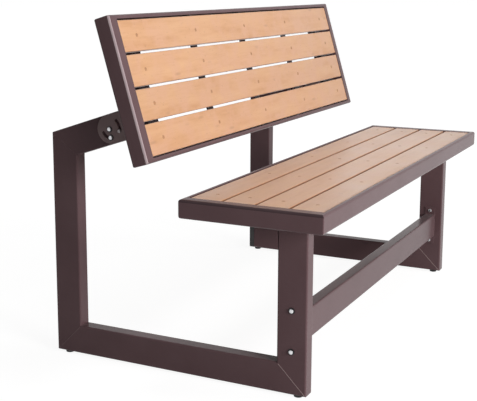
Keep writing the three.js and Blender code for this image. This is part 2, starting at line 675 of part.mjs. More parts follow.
// The backrest and all that swings with it, in a frame around the pivot line.
function backrest() {
  const back = new THREE.Group();
  const panel = framedPanel('back');
  panel.position.set(0, -BACK_OFFSET, PANEL_WIDTH / 2 - BACK_BELOW_PIVOT);
  panel.rotation.x = Math.PI / 2;
  back.add(panel);
  for (const [label, side] of [['left', -1], ['right', 1]]) {
    back.add(bracketPiece(label, side), adjustBoltPiece(label, side));
    back.add(leverPiece(label, side), gripPiece(label, side));
  }
  back.position.set(0, pivotY, pivotZ);
  back.rotation.x = -BACK_TILT;
  return back;
}

// Pivot bolt and stop bolt of each arm.
function armBolts() {
  const bolts = new THREE.Group();
  const gripLength = cheekOuterX - cheekInnerX + 2 * FIT_GAP;
  const [pivotBolt, stopBolt] = [PIVOT_RADIUS, STOP_RADIUS].map((radius) => boltGeometry(
    radius, HINGE_HEAD_RADIUS, HINGE_WASHER_RADIUS, HINGE_NUT_RADIUS, gripLength));
  const headX = cheekOuterX + FIT_GAP;
  const stopY = pivotY - STOP_ORBIT * Math.cos(STOP_ANGLE);
  const stopZ = pivotZ + STOP_ORBIT * Math.sin(STOP_ANGLE);
  for (const [label, side] of [['left', -1], ['right', 1]]) {
    bolts.add(boltAcross(`${label}_pivot_bolt`, pivotBolt, side, headX, pivotY, pivotZ));
    bolts.add(boltAcross(`${label}_stop_bolt`, stopBolt, side, headX, stopY, stopZ));
  }
  return bolts;
}

const bench = new THREE.Group();
bench.add(sideFrame('left', -1), sideFrame('right', 1));
bench.add(stretcherPiece(), stretcherBolts(), armBolts());

const seat = framedPanel('seat');
seat.position.set(0, seatFrontY + PANEL_WIDTH / 2, seatUndersideZ);
bench.add(seat, backrest());

export default bench;
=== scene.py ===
"""Visual model of a garden bench whose backrest swings over its arms to become a table top.

Lengths in the size fields are millimetres, as on a drawing, and meshes are made in metres.
X runs along the bench, the seat faces -Y, Z is up and left is -X.
"""

from __future__ import annotations

import json
import logging
import math
from dataclasses import dataclass
from enum import Enum
from typing import Iterable, Sequence

import bmesh
import bpy
from mathutils import Matrix, Vector

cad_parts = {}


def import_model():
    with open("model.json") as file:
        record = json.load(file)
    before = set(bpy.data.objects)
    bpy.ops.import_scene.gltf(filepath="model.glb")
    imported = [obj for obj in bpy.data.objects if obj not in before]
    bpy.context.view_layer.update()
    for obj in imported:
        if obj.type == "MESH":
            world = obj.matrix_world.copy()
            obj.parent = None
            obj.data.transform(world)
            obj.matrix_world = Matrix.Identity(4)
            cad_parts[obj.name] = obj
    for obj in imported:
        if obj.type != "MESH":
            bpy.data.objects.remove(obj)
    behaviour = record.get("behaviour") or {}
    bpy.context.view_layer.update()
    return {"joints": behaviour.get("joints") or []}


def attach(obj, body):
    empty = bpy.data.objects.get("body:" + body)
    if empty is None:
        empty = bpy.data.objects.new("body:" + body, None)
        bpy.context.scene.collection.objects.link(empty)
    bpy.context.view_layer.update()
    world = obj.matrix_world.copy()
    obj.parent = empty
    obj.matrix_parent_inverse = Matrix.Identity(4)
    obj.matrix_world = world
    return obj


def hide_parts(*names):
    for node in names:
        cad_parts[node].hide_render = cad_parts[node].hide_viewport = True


MM = 0.001
SMOOTH_ANGLE = math.radians(38)
QUARTER = math.pi / 2
FULL = 2 * math.pi
Z_TO_X = Matrix(((0, 0, 1, 0), (1, 0, 0, 0), (0, 1, 0, 0), (0, 0, 0, 1)))
Z_TO_Y = Matrix(((1, 0, 0, 0), (0, 0, 1, 0), (0, 1, 0, 0), (0, 0, 0, 1)))
LOG = logging.getLogger("bench")

Skin = bmesh.types.BMesh
Socket = bpy.types.NodeSocket
Ring = list[Vector]
Point2 = tuple[float, float]
Triple = tuple[float, float, float]
Colour = tuple[int, int, int]
Number = float | Socket


class Side(Enum):
    """An end of the bench and its sign along X."""

    LEFT = -1
    RIGHT = 1

    @property
    def label(self) -> str:
        """The word that starts the names of this side's pieces."""
        return self.name.lower()


class Slot(Enum):
    """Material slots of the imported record."""

    PAINT = "frame_paint"
    WOOD = "slat_wood"
    STEEL = "bolt_steel"
    BLACK = "black_plastic"
    LEVER = "lever_steel"


class Body(Enum):
    """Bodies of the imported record."""

    FRAME = "frame"
    BACKREST = "backrest"
    LEFT_LEVER = "left_lever"
    RIGHT_LEVER = "right_lever"


# Finishes


def light(value: int) -> float:
    """One part of a screen colour, from 0 to 255, as a share of light."""
    share = value / 255
    return share / 12.92 if share <= 0.04045 else ((share + 0.055) / 1.055) ** 2.4


def linear(colour: Colour) -> tuple[float, ...]:
    """A screen colour as linear light, with full alpha."""
    return *map(light, colour), 1.0


class Sheet:
    """A node tree that is filled from left to right."""

    def __init__(self, tree: bpy.types.NodeTree) -> None:
        """Starts on the tree that new nodes go into."""
        self.tree = tree

    def feed(self, node: bpy.types.Node, inputs: dict) -> None:
        """Fills sockets of a node.

        Args:
            node: The node.
            inputs: Socket names or numbers, each with a value, a feeding socket or a list of these.
        """
        for key, value in inputs.items():
            for source in value if isinstance(value, list) else [value]:
                if isinstance(source, Socket):
                    self.tree.links.new(source, node.inputs[key])
                else:
                    node.inputs[key].default_value = source

    def node(self, kind: str, inputs: dict | None = None, **settings: str | bool) -> bpy.types.Node:
        """Adds a node.

        Args:
            kind: The node's type name.
            inputs: What its sockets are given, as in feed.
            settings: Values of the node's own fields.

        Returns:
            The new node.
        """
        made = self.tree.nodes.new(kind)
        for name, value in settings.items():
            setattr(made, name, value)
        self.feed(made, inputs or {})
        return made

    def ramp(self, factor: Socket, stops: Sequence[tuple[float, Colour]]) -> Socket:
        """Adds a colour ramp.

        Args:
            factor: The socket that is looked up.
            stops: Each stop's place and colour, from low to high.

        Returns:
            The ramp's colour socket.
        """
        made = self.node("ShaderNodeValToRGB", {"Fac": factor})
        elements = made.color_ramp.elements
        while len(elements) < len(stops):
            elements.new(0.5)
        for element, (place, colour) in zip(elements, stops):
            element.position = place
            element.color = linear(colour)
        return made.outputs["Color"]

    def noise(self, place: Socket, scale: float, detail: float, rough: float = 0.5) -> Socket:
        """Adds a noise texture and returns its factor socket."""
        settings = {"Vector": place, "Scale": scale, "Detail": detail, "Roughness": rough}
        return self.node("ShaderNodeTexNoise", settings).outputs["Fac"]

    def blend(self, share: Number, base: Socket, colour: Colour) -> Socket:
        """Adds a mix that gives a base a share of a colour and returns its socket."""
        return self.node("ShaderNodeMix", {0: share, 6: base, 7: linear(colour)}, data_type="RGBA").outputs[2]

    def span(self, value: Socket, low: Number, high: Number, to_low: Number, to_high: Number) -> Socket:
        """Adds a map from one span of numbers to another and returns its socket."""
        spans = {"Value": value, "From Min": low, "From Max": high, "To Min": to_low, "To Max": to_high}
        return self.node("ShaderNodeMapRange", spans).outputs["Result"]

    def stretched(self, place: Socket, scale: Triple) -> Socket:
        """Adds a mapping that stretches a pattern and returns its socket."""
        return self.node("ShaderNodeMapping", {"Vector": place, "Scale": scale}).outputs["Vector"]


class MaterialSheet(Sheet):
    """The node tree of a new material, with its shader and its Object coordinates at hand."""

    def __init__(self, name: str) -> None:
        """Makes the material.

        Args:
            name: The material's name.
        """
        self.material = bpy.data.materials.new(name)
        self.material.use_nodes = True
        super().__init__(self.material.node_tree)
        self.shader = self.tree.nodes["Principled BSDF"]
        self.place = self.node("ShaderNodeTexCoord").outputs["Object"]

    def attribute(self, name: str) -> Socket:
        """Adds the reading of a mesh attribute and returns its socket."""
        return self.node("ShaderNodeAttribute", attribute_name=name).outputs["Fac"]


@dataclass(frozen=True, kw_only=True)
class Tint:
    """A noise that gives a base a share of a colour where it rises from low to high."""

    colour: Colour
    low: float
    high: float
    share: float
    detail: float
    scale: float = 1.0
    roughness: float = 0.5
    stretch: Triple | None = None

    def noise(self, sheet: Sheet, place: Socket) -> Socket:
        """Adds the noise and returns its socket."""
        own = sheet.stretched(place, self.stretch) if self.stretch else place
        return sheet.noise(own, self.scale, self.detail, self.roughness)

    def over(self, sheet: Sheet, noise: Socket, base: Socket) -> Socket:
        """Lays the tint over a base and returns the new colour's socket."""
        return sheet.blend(sheet.span(noise, self.low, self.high, 0.0, self.share), base, self.colour)


@dataclass(frozen=True, kw_only=True)
class Finish:
    """What every finish has: a name, a roughness span and a grain in its surface."""

    name: str
    rough_low: float
    rough_high: float
    bump_scale: float
    bump_depth: float
    bump_strength: float
    grain_detail: float = 3.0
    patch_size: float = 24.0
    patch_detail: float = 2.0
    patch_low: float = 0.3
    patch_high: float = 0.7

    def grain(self, sheet: MaterialSheet, place: Socket, height: Socket | None = None) -> None:
        """Gives the shader its roughness and bump.

        Args:
            sheet: The material's sheet.
            place: The coordinates that the noise reads.
            height: The socket of another height, which is used in place of the noise.
        """
        bump = sheet.node("ShaderNodeBump", {
            "Height": height or sheet.noise(place, self.bump_scale, self.grain_detail),
            "Distance": self.bump_depth * MM, "Strength": self.bump_strength,
        })
        patches = sheet.noise(place, self.bump_scale / self.patch_size, self.patch_detail)
        rough = sheet.span(patches, self.patch_low, self.patch_high, self.rough_low, self.rough_high)
        sheet.feed(sheet.shader, {"Normal": bump.outputs["Normal"], "Roughness": rough})


@dataclass(frozen=True, kw_only=True)
class TwoTone(Finish):
    """A finish whose colour drifts between two tones in soft clouds."""

    deep: Colour
    pale: Colour
    cloud_scale: float
    cloud_detail: float = 5.0
    cloud_roughness: float = 0.6
    cloud_low: float
    cloud_high: float
    metallic: float = 0.0

    def clouds(self, sheet: MaterialSheet) -> Socket:
        """Adds the drifting colour and returns its socket."""
        drift = sheet.noise(sheet.place, self.cloud_scale, self.cloud_detail, self.cloud_roughness)
        return sheet.ramp(drift, [(self.cloud_low, self.deep), (self.cloud_high, self.pale)])

    def build(self) -> bpy.types.Material:
        """Makes the material and returns it."""
        sheet = MaterialSheet(self.name)
        sheet.feed(sheet.shader, {"Base Color": self.clouds(sheet), "Metallic": self.metallic})
        self.grain(sheet, sheet.place)
        return sheet.material


@dataclass(frozen=True, kw_only=True)
class PlatedSteel(TwoTone):
    """Bright plated steel, turned on a lathe, a little cloudy."""

    name: str = "plated_steel"
    rough_low: float = 0.22
    rough_high: float = 0.38
    bump_scale: float = 500.0
    bump_depth: float = 0.08
    bump_strength: float = 0.2
    deep: Colour = (196, 197, 200)
    pale: Colour = (236, 236, 238)
    cloud_scale: float = 260.0
    cloud_detail: float = 3.0
    cloud_roughness: float = 0.5
    cloud_low: float = 0.3
    cloud_high: float = 0.6
    metallic: float = 0.75


@dataclass(frozen=True, kw_only=True)
class BlackMoulding(TwoTone):
    """Black moulded plastic with a fine spark texture and a little grey dust."""

    name: str = "black_moulding"
    rough_low: float = 0.45
    rough_high: float = 0.62
    bump_scale: float = 1100.0
    bump_depth: float = 0.15
    bump_strength: float = 0.3
    deep: Colour = (20, 19, 20)
    pale: Colour = (44, 42, 42)
    cloud_scale: float = 40.0
    cloud_low: float = 0.45
    cloud_high: float = 0.75


@dataclass(frozen=True, kw_only=True)
class DarkSteel(TwoTone):
    """Blackened steel with pale rubbed patches."""

    name: str = "dark_steel"
    rough_low: float = 0.3
    rough_high: float = 0.5
    bump_scale: float = 600.0
    bump_depth: float = 0.1
    bump_strength: float = 0.2
    deep: Colour = (38, 36, 38)
    pale: Colour = (86, 84, 86)
    cloud_scale: float = 70.0
    cloud_low: float = 0.5
    cloud_high: float = 0.72
    metallic: float = 0.7


@dataclass(frozen=True, kw_only=True)
class PowderCoat(TwoTone):
    """Brown powder coat with orange peel, faint clouds and tiny pale flecks."""

    name: str = "brown_powder_coat"
    rough_low: float = 0.25
    rough_high: float = 0.27
    bump_scale: float = 700.0
    bump_depth: float = 0.15
    bump_strength: float = 0.05
    deep: Colour = (107, 82, 85)
    pale: Colour = (112, 87, 90)
    cloud_scale: float = 9.0
    cloud_detail: float = 4.0
    cloud_roughness: float = 0.5
    cloud_low: float = 0.35
    cloud_high: float = 0.65
    fleck: Colour = (122, 102, 104)
    fleck_scale: float = 1500.0
    fleck_low: float = 0.62
    fleck_high: float = 0.78
    fleck_share: float = 0.35
    specular: float = 0.1
    coat: float = 0.0
    sheen: float = 0.18
    sheen_roughness: float = 0.3

    def build(self) -> bpy.types.Material:
        """Makes the material and returns it."""
        sheet = MaterialSheet(self.name)
        flecks = Tint(
            colour=self.fleck, low=self.fleck_low, high=self.fleck_high, share=self.fleck_share,
            detail=1.0, scale=self.fleck_scale)
        sheet.feed(sheet.shader, {
            "Base Color": flecks.over(sheet, flecks.noise(sheet, sheet.place), self.clouds(sheet)),
            "Specular IOR Level": self.specular,
            "Coat Weight": self.coat,
            "Coat Roughness": self.rough_low,
            "Sheen Weight": self.sheen,
            "Sheen Roughness": self.sheen_roughness,
        })
        self.grain(sheet, sheet.place)
        return sheet.material


@dataclass(frozen=True, kw_only=True)
class BoardWood(Finish):
    """Tan board with long grain, soft blotches, small dark flecks and a few knots, and painted shade below
    its face in the gaps and countersinks.
    """

    name: str = "tan_board"
    rough_low: float = 0.28
    rough_high: float = 0.38
    bump_scale: float = 160.0
    bump_depth: float = 0.35
    bump_strength: float = 0.35
    wave_detail: float = 5.0
    wave_roughness: float = 0.6
    wave_stretch: Triple = (4.0, 34.0, 34.0)
    wave_stops: tuple[tuple[float, Colour], ...] = (
        (0.32, (214, 156, 108)), (0.5, (225, 171, 125)), (0.68, (230, 179, 133)))
    blotch: Tint = Tint(
        colour=(226, 173, 137), low=0.42, high=0.62, share=0.8, detail=3.0, scale=17.0, roughness=0.55)
    fibre: Tint = Tint(
        colour=(214, 156, 108), low=0.5, high=0.8, share=0.4, detail=2.0, stretch=(22.0, 330.0, 330.0))
    fleck: Tint = Tint(
        colour=(176, 122, 86), low=0.68, high=0.8, share=0.45, detail=1.0, stretch=(120.0, 240.0, 240.0))
    knot: Colour = (176, 122, 86)
    knot_stretch: Triple = (7.0, 26.0, 26.0)
    knot_core: float = 0.04
    knot_rim: float = 0.14
    knot_share: float = 0.4
    # Painted shade: the boards turn towards this colour below their faces, in the gaps between them and in
    # the countersinks.
    edge: Colour = (150, 84, 48)
    gap_shade_start: float = 0.1
    gap_shade_share: float = 0.85
    gap_shade_attribute: str = "board_edge"
    tone_attribute: str = "board_tone"
    tone_shift: float = 3.7
    tone_low: float = 0.95
    tone_high: float = 1.04
    specular: float = 0.6
    sheen: float = 0.5
    sheen_roughness: float = 0.3

    def own_place(self, sheet: MaterialSheet, tone: Socket) -> Socket:
        """Slides the pattern along by each board's tone, so that no two boards are alike.

        Args:
            sheet: The material's sheet.
            tone: The socket of the board's tone.

        Returns:
            The socket of the board's own coordinates.
        """
        slide = sheet.node("ShaderNodeCombineXYZ", {"X": tone}).outputs["Vector"]
        far = sheet.node("ShaderNodeVectorMath", {0: slide, 3: self.tone_shift}, operation="SCALE")
        own = sheet.node("ShaderNodeVectorMath", {0: sheet.place, 1: far.outputs["Vector"]})
        return own.outputs["Vector"]

    def build(self) -> bpy.types.Material:
        """Makes the material and returns it."""
        sheet = MaterialSheet(self.name)
        tone = sheet.attribute(self.tone_attribute)
        own = self.own_place(sheet, tone)
        wave = sheet.noise(
            sheet.stretched(own, self.wave_stretch), 1.0, self.wave_detail, self.wave_roughness)
        warmed = self.blotch.over(sheet, self.blotch.noise(sheet, own), sheet.ramp(wave, self.wave_stops))
        fibres = self.fibre.noise(sheet, own)
        fibred = self.fibre.over(sheet, fibres, warmed)
        cells = sheet.node(
            "ShaderNodeTexVoronoi",
            {"Vector": sheet.stretched(own, self.knot_stretch), "Scale": 1.0, "Randomness": 1.0},
        ).outputs["Distance"]
        knots = sheet.span(cells, self.knot_core, self.knot_rim, self.knot_share, 0.0)
        knotted = sheet.blend(knots, fibred, self.knot)
        flecked = self.fleck.over(sheet, self.fleck.noise(sheet, own), knotted)
        brightness = sheet.span(tone, 0.0, 1.0, self.tone_low, self.tone_high)
        toned = sheet.node("ShaderNodeHueSaturation", {"Color": flecked, "Value": brightness})
        # Painted shade below the board's face, in the gaps and the countersinks.
        below = sheet.attribute(self.gap_shade_attribute)
        shade = sheet.span(below, self.gap_shade_start, 1.0, 0.0, self.gap_shade_share)
        sheet.feed(sheet.shader, {
            "Base Color": sheet.blend(shade, toned.outputs["Color"], self.edge),
            "Specular IOR Level": self.specular,
            "Sheen Weight": self.sheen,
            "Sheen Roughness": self.sheen_roughness,
        })
        self.grain(sheet, own, height=fibres)
        return sheet.material


class Look(Enum):
    """Every finish on the bench, with the record's slot that it belongs to."""

    PAINT = Slot.PAINT, PowderCoat()
    WOOD = Slot.WOOD, BoardWood()
    STEEL = Slot.STEEL, PlatedSteel()
    PLASTIC = Slot.BLACK, BlackMoulding()
    LEVER = Slot.LEVER, DarkSteel()
    # Paler copies of the coat for the front and rear mitre welds: a painted highlight, fainter at the rear.
    WELD = Slot.PAINT, PowderCoat(
        name="weld_coat", pale=(172, 150, 148), deep=(146, 124, 124), fleck=(190, 172, 170),
        rough_low=0.28, rough_high=0.36)
    FAINT_WELD_HIGHLIGHT = Slot.PAINT, PowderCoat(
        name="faint_weld_highlight_coat", pale=(128, 106, 106), deep=(112, 90, 92), fleck=(140, 118, 118))
    # A paler coat on the backrest's end edges: a painted highlight, under a real clear coat.
    RUBBED_EDGE = Slot.PAINT, PowderCoat(
        name="rubbed_edge_coat", pale=(190, 168, 171), deep=(182, 160, 163), fleck=(200, 180, 181),
        specular=0.5, coat=1.0)
    # A darker copy of the coat on the seat's end edges: painted shade.
    SHADED_EDGE = Slot.PAINT, PowderCoat(
        name="shaded_edge_coat", pale=(86, 68, 71), deep=(80, 62, 65), fleck=(96, 80, 82), sheen=0.05)
    # A darker copy of the coat for the cross members: painted shade under the boards.
    CROSS_MEMBER = Slot.PAINT, PowderCoat(
        name="cross_member_coat", pale=(50, 38, 40), deep=(42, 32, 34), fleck=(64, 52, 54))
    SCREW = Slot.STEEL, PlatedSteel(
        name="coated_screw", pale=(206, 154, 114), deep=(184, 134, 98), metallic=0.05,
        rough_low=0.4, rough_high=0.55)
    WORN_STEEL = Slot.STEEL, PlatedSteel(
        name="worn_steel", pale=(150, 144, 144), deep=(112, 106, 106), metallic=0.5)
    HINGE_PLATE = Slot.PAINT, PowderCoat(
        name="hinge_plate_coat", pale=(176, 152, 152), deep=(160, 138, 138), fleck=(190, 170, 168),
        rough_low=0.36, rough_high=0.44)

    def __init__(self, slot: Slot, finish: Finish) -> None:
        """Keeps the two parts of the value by name."""
        self.slot = slot
        self.finish = finish


class Palette:
    """The bench's finishes as materials, each made once."""

    def __init__(self) -> None:
        """Makes every finish."""
        self.made = {look: look.finish.build() for look in Look}

    def of(self, look: Look) -> bpy.types.Material:
        """Returns the material of a finish."""
        return self.made[look]


# Meshes


def polar(radius: float, angle: float, centre: Point2 = (0, 0)) -> Point2:
    """The point at a distance and an angle from a centre."""
    return centre[0] + radius * math.cos(angle), centre[1] + radius * math.sin(angle)


def arc(centre: Point2, radius: float, start: float, turn: float, steps: int) -> list[Point2]:
    """Points along an arc.

    Args:
        centre: Middle of the arc.
        radius: Its radius.
        start: Angle of its first point, in radians.
        turn: How far it goes round, in radians.
        steps: How many parts it is cut into.

    Returns:
        The points, both ends among them.
    """
    return [polar(radius, start + turn * i / steps, centre) for i in range(steps + 1)]


def circle(radius: float, steps: int = 32, centre: Point2 = (0, 0)) -> list[Point2]:
    """Points round a circle, anticlockwise."""
    return arc(centre, radius, 0, FULL, steps)[:-1]


def rounded_loop(half_x: float, half_y: float, radius: float, steps: int) -> list[Point2]:
    """A rectangle around the origin with round corners, anticlockwise.

    Args:
        half_x, half_y: Half its length along X and Y.
        radius: Radius of its corners.
        steps: How many parts each corner is cut into.

    Returns:
        Its corners' points.
    """
    x, y = half_x - radius, half_y - radius
    middles = [(x, y), (-x, y), (-x, -y), (x, -y)]
    return [p for i, m in enumerate(middles) for p in arc(m, radius, i * QUARTER, QUARTER, steps)]


def level(loop: Iterable[Point2], z: float) -> Ring:
    """A loop as a ring at one height."""
    return [Vector((x, y, z)) for x, y in loop]


def bridge(rings: Sequence[Ring], closed: bool) -> Skin:
    """A skin over rings that all have the same number of points.

    Args:
        rings: The rings in order, in millimetres.
        closed: True joins the last ring to the first, and False caps both ends.

    Returns:
        The skin, with its faces turned outward.
    """
    skin = bmesh.new()
    rows = [[skin.verts.new(p * MM) for p in ring] for ring in rings]
    count = len(rows[0])
    pairs = list(zip(rows, rows[1:])) + ([(rows[-1], rows[0])] if closed else [])
    for first, second in pairs:
        for i in range(count):
            j = (i + 1) % count
            skin.faces.new((first[i], first[j], second[j], second[i]))
    if not closed:
        skin.faces.new(rows[0])
        skin.faces.new(rows[-1])
    return sewn(skin)


def sewn(skin: Skin, distance: float = 1e-7) -> Skin:
    """The skin with doubled points merged and its faces turned outward.

    Args:
        skin: The skin.
        distance: How near doubled points lie, in metres.

    Returns:
        The same skin.
    """
    bmesh.ops.remove_doubles(skin, verts=skin.verts, dist=distance)
    bmesh.ops.recalc_face_normals(skin, faces=skin.faces)
    return skin


def joined(parts: Iterable[Skin]) -> Skin:
    """Several skins as one.

    Args:
        parts: The skins, which are freed.

    Returns:
        The whole.
    """
    whole = bmesh.new()
    carrier = bpy.data.meshes.new("carrier")
    for part in parts:
        part.to_mesh(carrier)
        whole.from_mesh(carrier)
        part.free()
    bpy.data.meshes.remove(carrier)
    return whole


def turned(skin: Skin, matrix: Matrix) -> Skin:
    """Turns and shifts a skin.

    Args:
        skin: The skin.
        matrix: Where it goes. A mirroring one has the faces turned outward again.

    Returns:
        The same skin.
    """
    bmesh.ops.transform(skin, matrix=matrix, verts=skin.verts)
    if matrix.to_3x3().determinant() < 0:
        bmesh.ops.reverse_faces(skin, faces=skin.faces)
    return skin


def shift(x: float, y: float, z: float) -> Matrix:
    """A move in millimetres, as a matrix in metres."""
    return Matrix.Translation(Vector((x, y, z)) * MM)


def about_x(angle: float) -> Matrix:
    """A turn about X by an angle in radians."""
    return Matrix.Rotation(angle, 4, "X")


def out_of_side(side: Side, x: float, y: float, z: float) -> Matrix:
    """A turn of Z to the outside of one side, at a place given by its distance from the middle."""
    return shift(side.value * x, y, z) @ Matrix.Rotation(side.value * QUARTER, 4, "Y")


@dataclass(frozen=True)
class Tube:
    """Rectangular tube section, in millimetres."""

    width: float
    depth: float
    radius: float = 4
    wall: float = 2
    steps: int = 6
    edge: float = 0.4
    least_radius: float = 0.6

    def ring(self, inset: float, z: float, slope: float = 0.0) -> Ring:
        """A ring of the section.

        Args:
            inset: How far it lies inside the outer skin.
            z: Its place along the tube.
            slope: Rise of its plane across the depth.

        Returns:
            The ring's points.
        """
        radius = max(self.radius - inset, self.least_radius)
        loop = rounded_loop(self.width / 2 - inset, self.depth / 2 - inset, radius, self.steps)
        return [Vector((x, y, z + slope * y)) for x, y in loop]

    def bar(
        self, start: float, end: float, start_slope: float = 0.0, end_slope: float = 0.0, nose: float = 0.0
    ) -> Skin:
        """A length of the tube along Z, with its edges broken.

        Args:
            start, end: Its two ends.
            start_slope, end_slope: Rise of each end across the depth.
            nose: Thickness of a wall that closes the far end, or 0 where it is open.

        Returns:
            The tube's skin.
        """
        outer = [
            self.ring(self.edge, start, start_slope), self.ring(0, start + self.edge, start_slope),
            self.ring(0, end - self.edge, end_slope), self.ring(self.edge, end, end_slope),
        ]
        far = self.ring(self.wall, end - nose) if nose else self.ring(self.wall, end, end_slope)
        return bridge([far, self.ring(self.wall, start, start_slope), *outer], closed=not nose)


def slab(
    size: Sequence[float], radius: float, edge: float, steps: int = 5, least_radius: float = 0.3
) -> Skin:
    """A plate around the origin with round corners and broken edges.

    Args:
        size: Its length along X, Y and Z in millimetres.
        radius: Radius of its corners, seen along Z.
        edge: Width of the small chamfer round both faces.
        steps: How many parts each corner is cut into.
        least_radius: What the corners of both faces keep of their radius.

    Returns:
        The plate's skin.
    """
    half_x, half_y, half_z = (length / 2 for length in size)
    rings = []
    for inset, z in ((edge, -half_z), (0, edge - half_z), (0, half_z - edge), (edge, half_z)):
        corner = max(radius - inset, least_radius)
        rings.append(level(rounded_loop(half_x - inset, half_y - inset, corner, steps), z))
    return bridge(rings, closed=False)


def lathe(profile: Sequence[Point2], steps: int = 32) -> Skin:
    """A closed shape turned about Z.

    Args:
        profile: Radius and height of each ring in millimetres, where a radius of 0 is a pole.
        steps: How many sides the rings have.

    Returns:
        The shape's skin.
    """
    skin = bmesh.new()
    rows = [
        [skin.verts.new(p * MM) for p in level(circle(radius, steps) if radius else [(0, 0)], z)]
        for radius, z in profile
    ]
    for first, second in zip(rows, rows[1:]):
        for i in range(steps):
            j = (i + 1) % steps
            corners = (first[i % len(first)], first[j % len(first)],
                       second[j % len(second)], second[i % len(second)])
            unique = list(dict.fromkeys(corners))
            if len(unique) > 2:
                skin.faces.new(unique)
    return sewn(skin)


def chamfered_pin(radius: float, low: float, high: float, chamfer: float, steps: int) -> Skin:
    """A pin along Z with both ends chamfered.

    Args:
        radius: Its radius in millimetres.
        low, high: Its two ends.
        chamfer: Width of the chamfers.
        steps: How many sides it has.

    Returns:
        The pin's skin.
    """
    return lathe([
        (0, low), (radius - chamfer, low), (radius, low + chamfer), (radius, high - chamfer),
        (radius - chamfer, high), (0, high),
    ], steps)


def bead(path: Sequence[Vector], radius: float, closed: bool, sides: int = 10) -> Skin:
    """A round bead along a path, with rounded ends where the path is open.

    Args:
        path: The points that its middle follows, in millimetres.
        radius: Its radius.
        closed: True for a path that comes back to its start.
        sides: How many sides it has.

    Returns:
        The bead's skin.
    """
    end_reach, end_size = 0.7 * radius, 0.6 * radius
    count = len(path)
    stations = []
    for i, point in enumerate(path):
        if closed:
            tangent = path[(i + 1) % count] - path[i - 1]
        else:
            tangent = path[min(i + 1, count - 1)] - path[max(i - 1, 0)]
        stations.append((point, tangent.normalized(), radius))
    if not closed:
        first, last = (path[0] - path[1]).normalized(), (path[-1] - path[-2]).normalized()
        stations.insert(0, (path[0] + first * end_reach, -first, end_size))
        stations.append((path[-1] + last * end_reach, last, end_size))
    rings = []
    for middle, tangent, size in stations:
        facing = tangent.to_track_quat("Z", "Y")
        rings.append([middle + facing @ p for p in level(circle(size, sides), 0)])
    return bridge(rings, closed)


def pierced_plate(
    outline: Sequence[Point2], holes: Iterable[Sequence[Point2]], thickness: float, edge: float
) -> Skin:
    """A plate with holes, in X and Y around its middle plane, with rounded edges.

    Args:
        outline: The outer corners, in millimetres.
        holes: The corners of each hole.
        thickness: Thickness of the plate.
        edge: Radius of the rounding round the outline and the holes.

    Returns:
        The plate's skin.
    """
    curve = bpy.data.curves.new("plate", "CURVE")
    curve.dimensions = "2D"
    curve.fill_mode = "BOTH"
    curve.extrude = (thickness / 2 - edge) * MM
    curve.bevel_depth = edge * MM
    curve.bevel_resolution = 2
    curve.offset = -edge * MM
    for corners in (outline, *holes):
        line = curve.splines.new("POLY")
        line.points.add(len(corners) - 1)
        line.use_cyclic_u = True
        for point, (x, y) in zip(line.points, corners):
            point.co = (x * MM, y * MM, 0, 1)
    mesh = evaluated(bpy.data.objects.new("plate", curve))
    skin = bmesh.new()
    skin.from_mesh(mesh)
    bpy.data.curves.remove(curve)
    bpy.data.meshes.remove(mesh)
    return sewn(skin, 1e-6)


def evaluated(carrier: bpy.types.Object) -> bpy.types.Mesh:
    """The mesh that an object turns into once its curve or its modifiers are worked out.

    Args:
        carrier: The object, which is removed with its modifiers.

    Returns:
        A plain mesh.
    """
    bpy.context.scene.collection.objects.link(carrier)
    graph = bpy.context.evaluated_depsgraph_get()
    made = bpy.data.meshes.new_from_object(carrier.evaluated_get(graph))
    carrier.modifiers.clear()
    bpy.data.objects.remove(carrier)
    return made


def arc_slot(orbit: float, half: float, start: float, turn: float, steps: int = 14) -> list[Point2]:
    """A slot with round ends that follows an arc around the origin.

    Args:
        orbit: Radius of its middle line.
        half: Half its width.
        start: Angle of its first end centre, in radians.
        turn: Angle from there to its other end centre.
        steps: How many parts the arc is cut into.

    Returns:
        The slot's corners.
    """
    outer, inner = (arc((0, 0), orbit + side, start, turn, steps) for side in (half, -half))
    far_end = arc(polar(orbit, start + turn), half, start + turn, math.pi, 8)[1:-1]
    near_end = arc(polar(orbit, start), half, start + math.pi, math.pi, 8)[1:-1]
    return outer + far_end + inner[::-1] + near_end


# Geometry Nodes


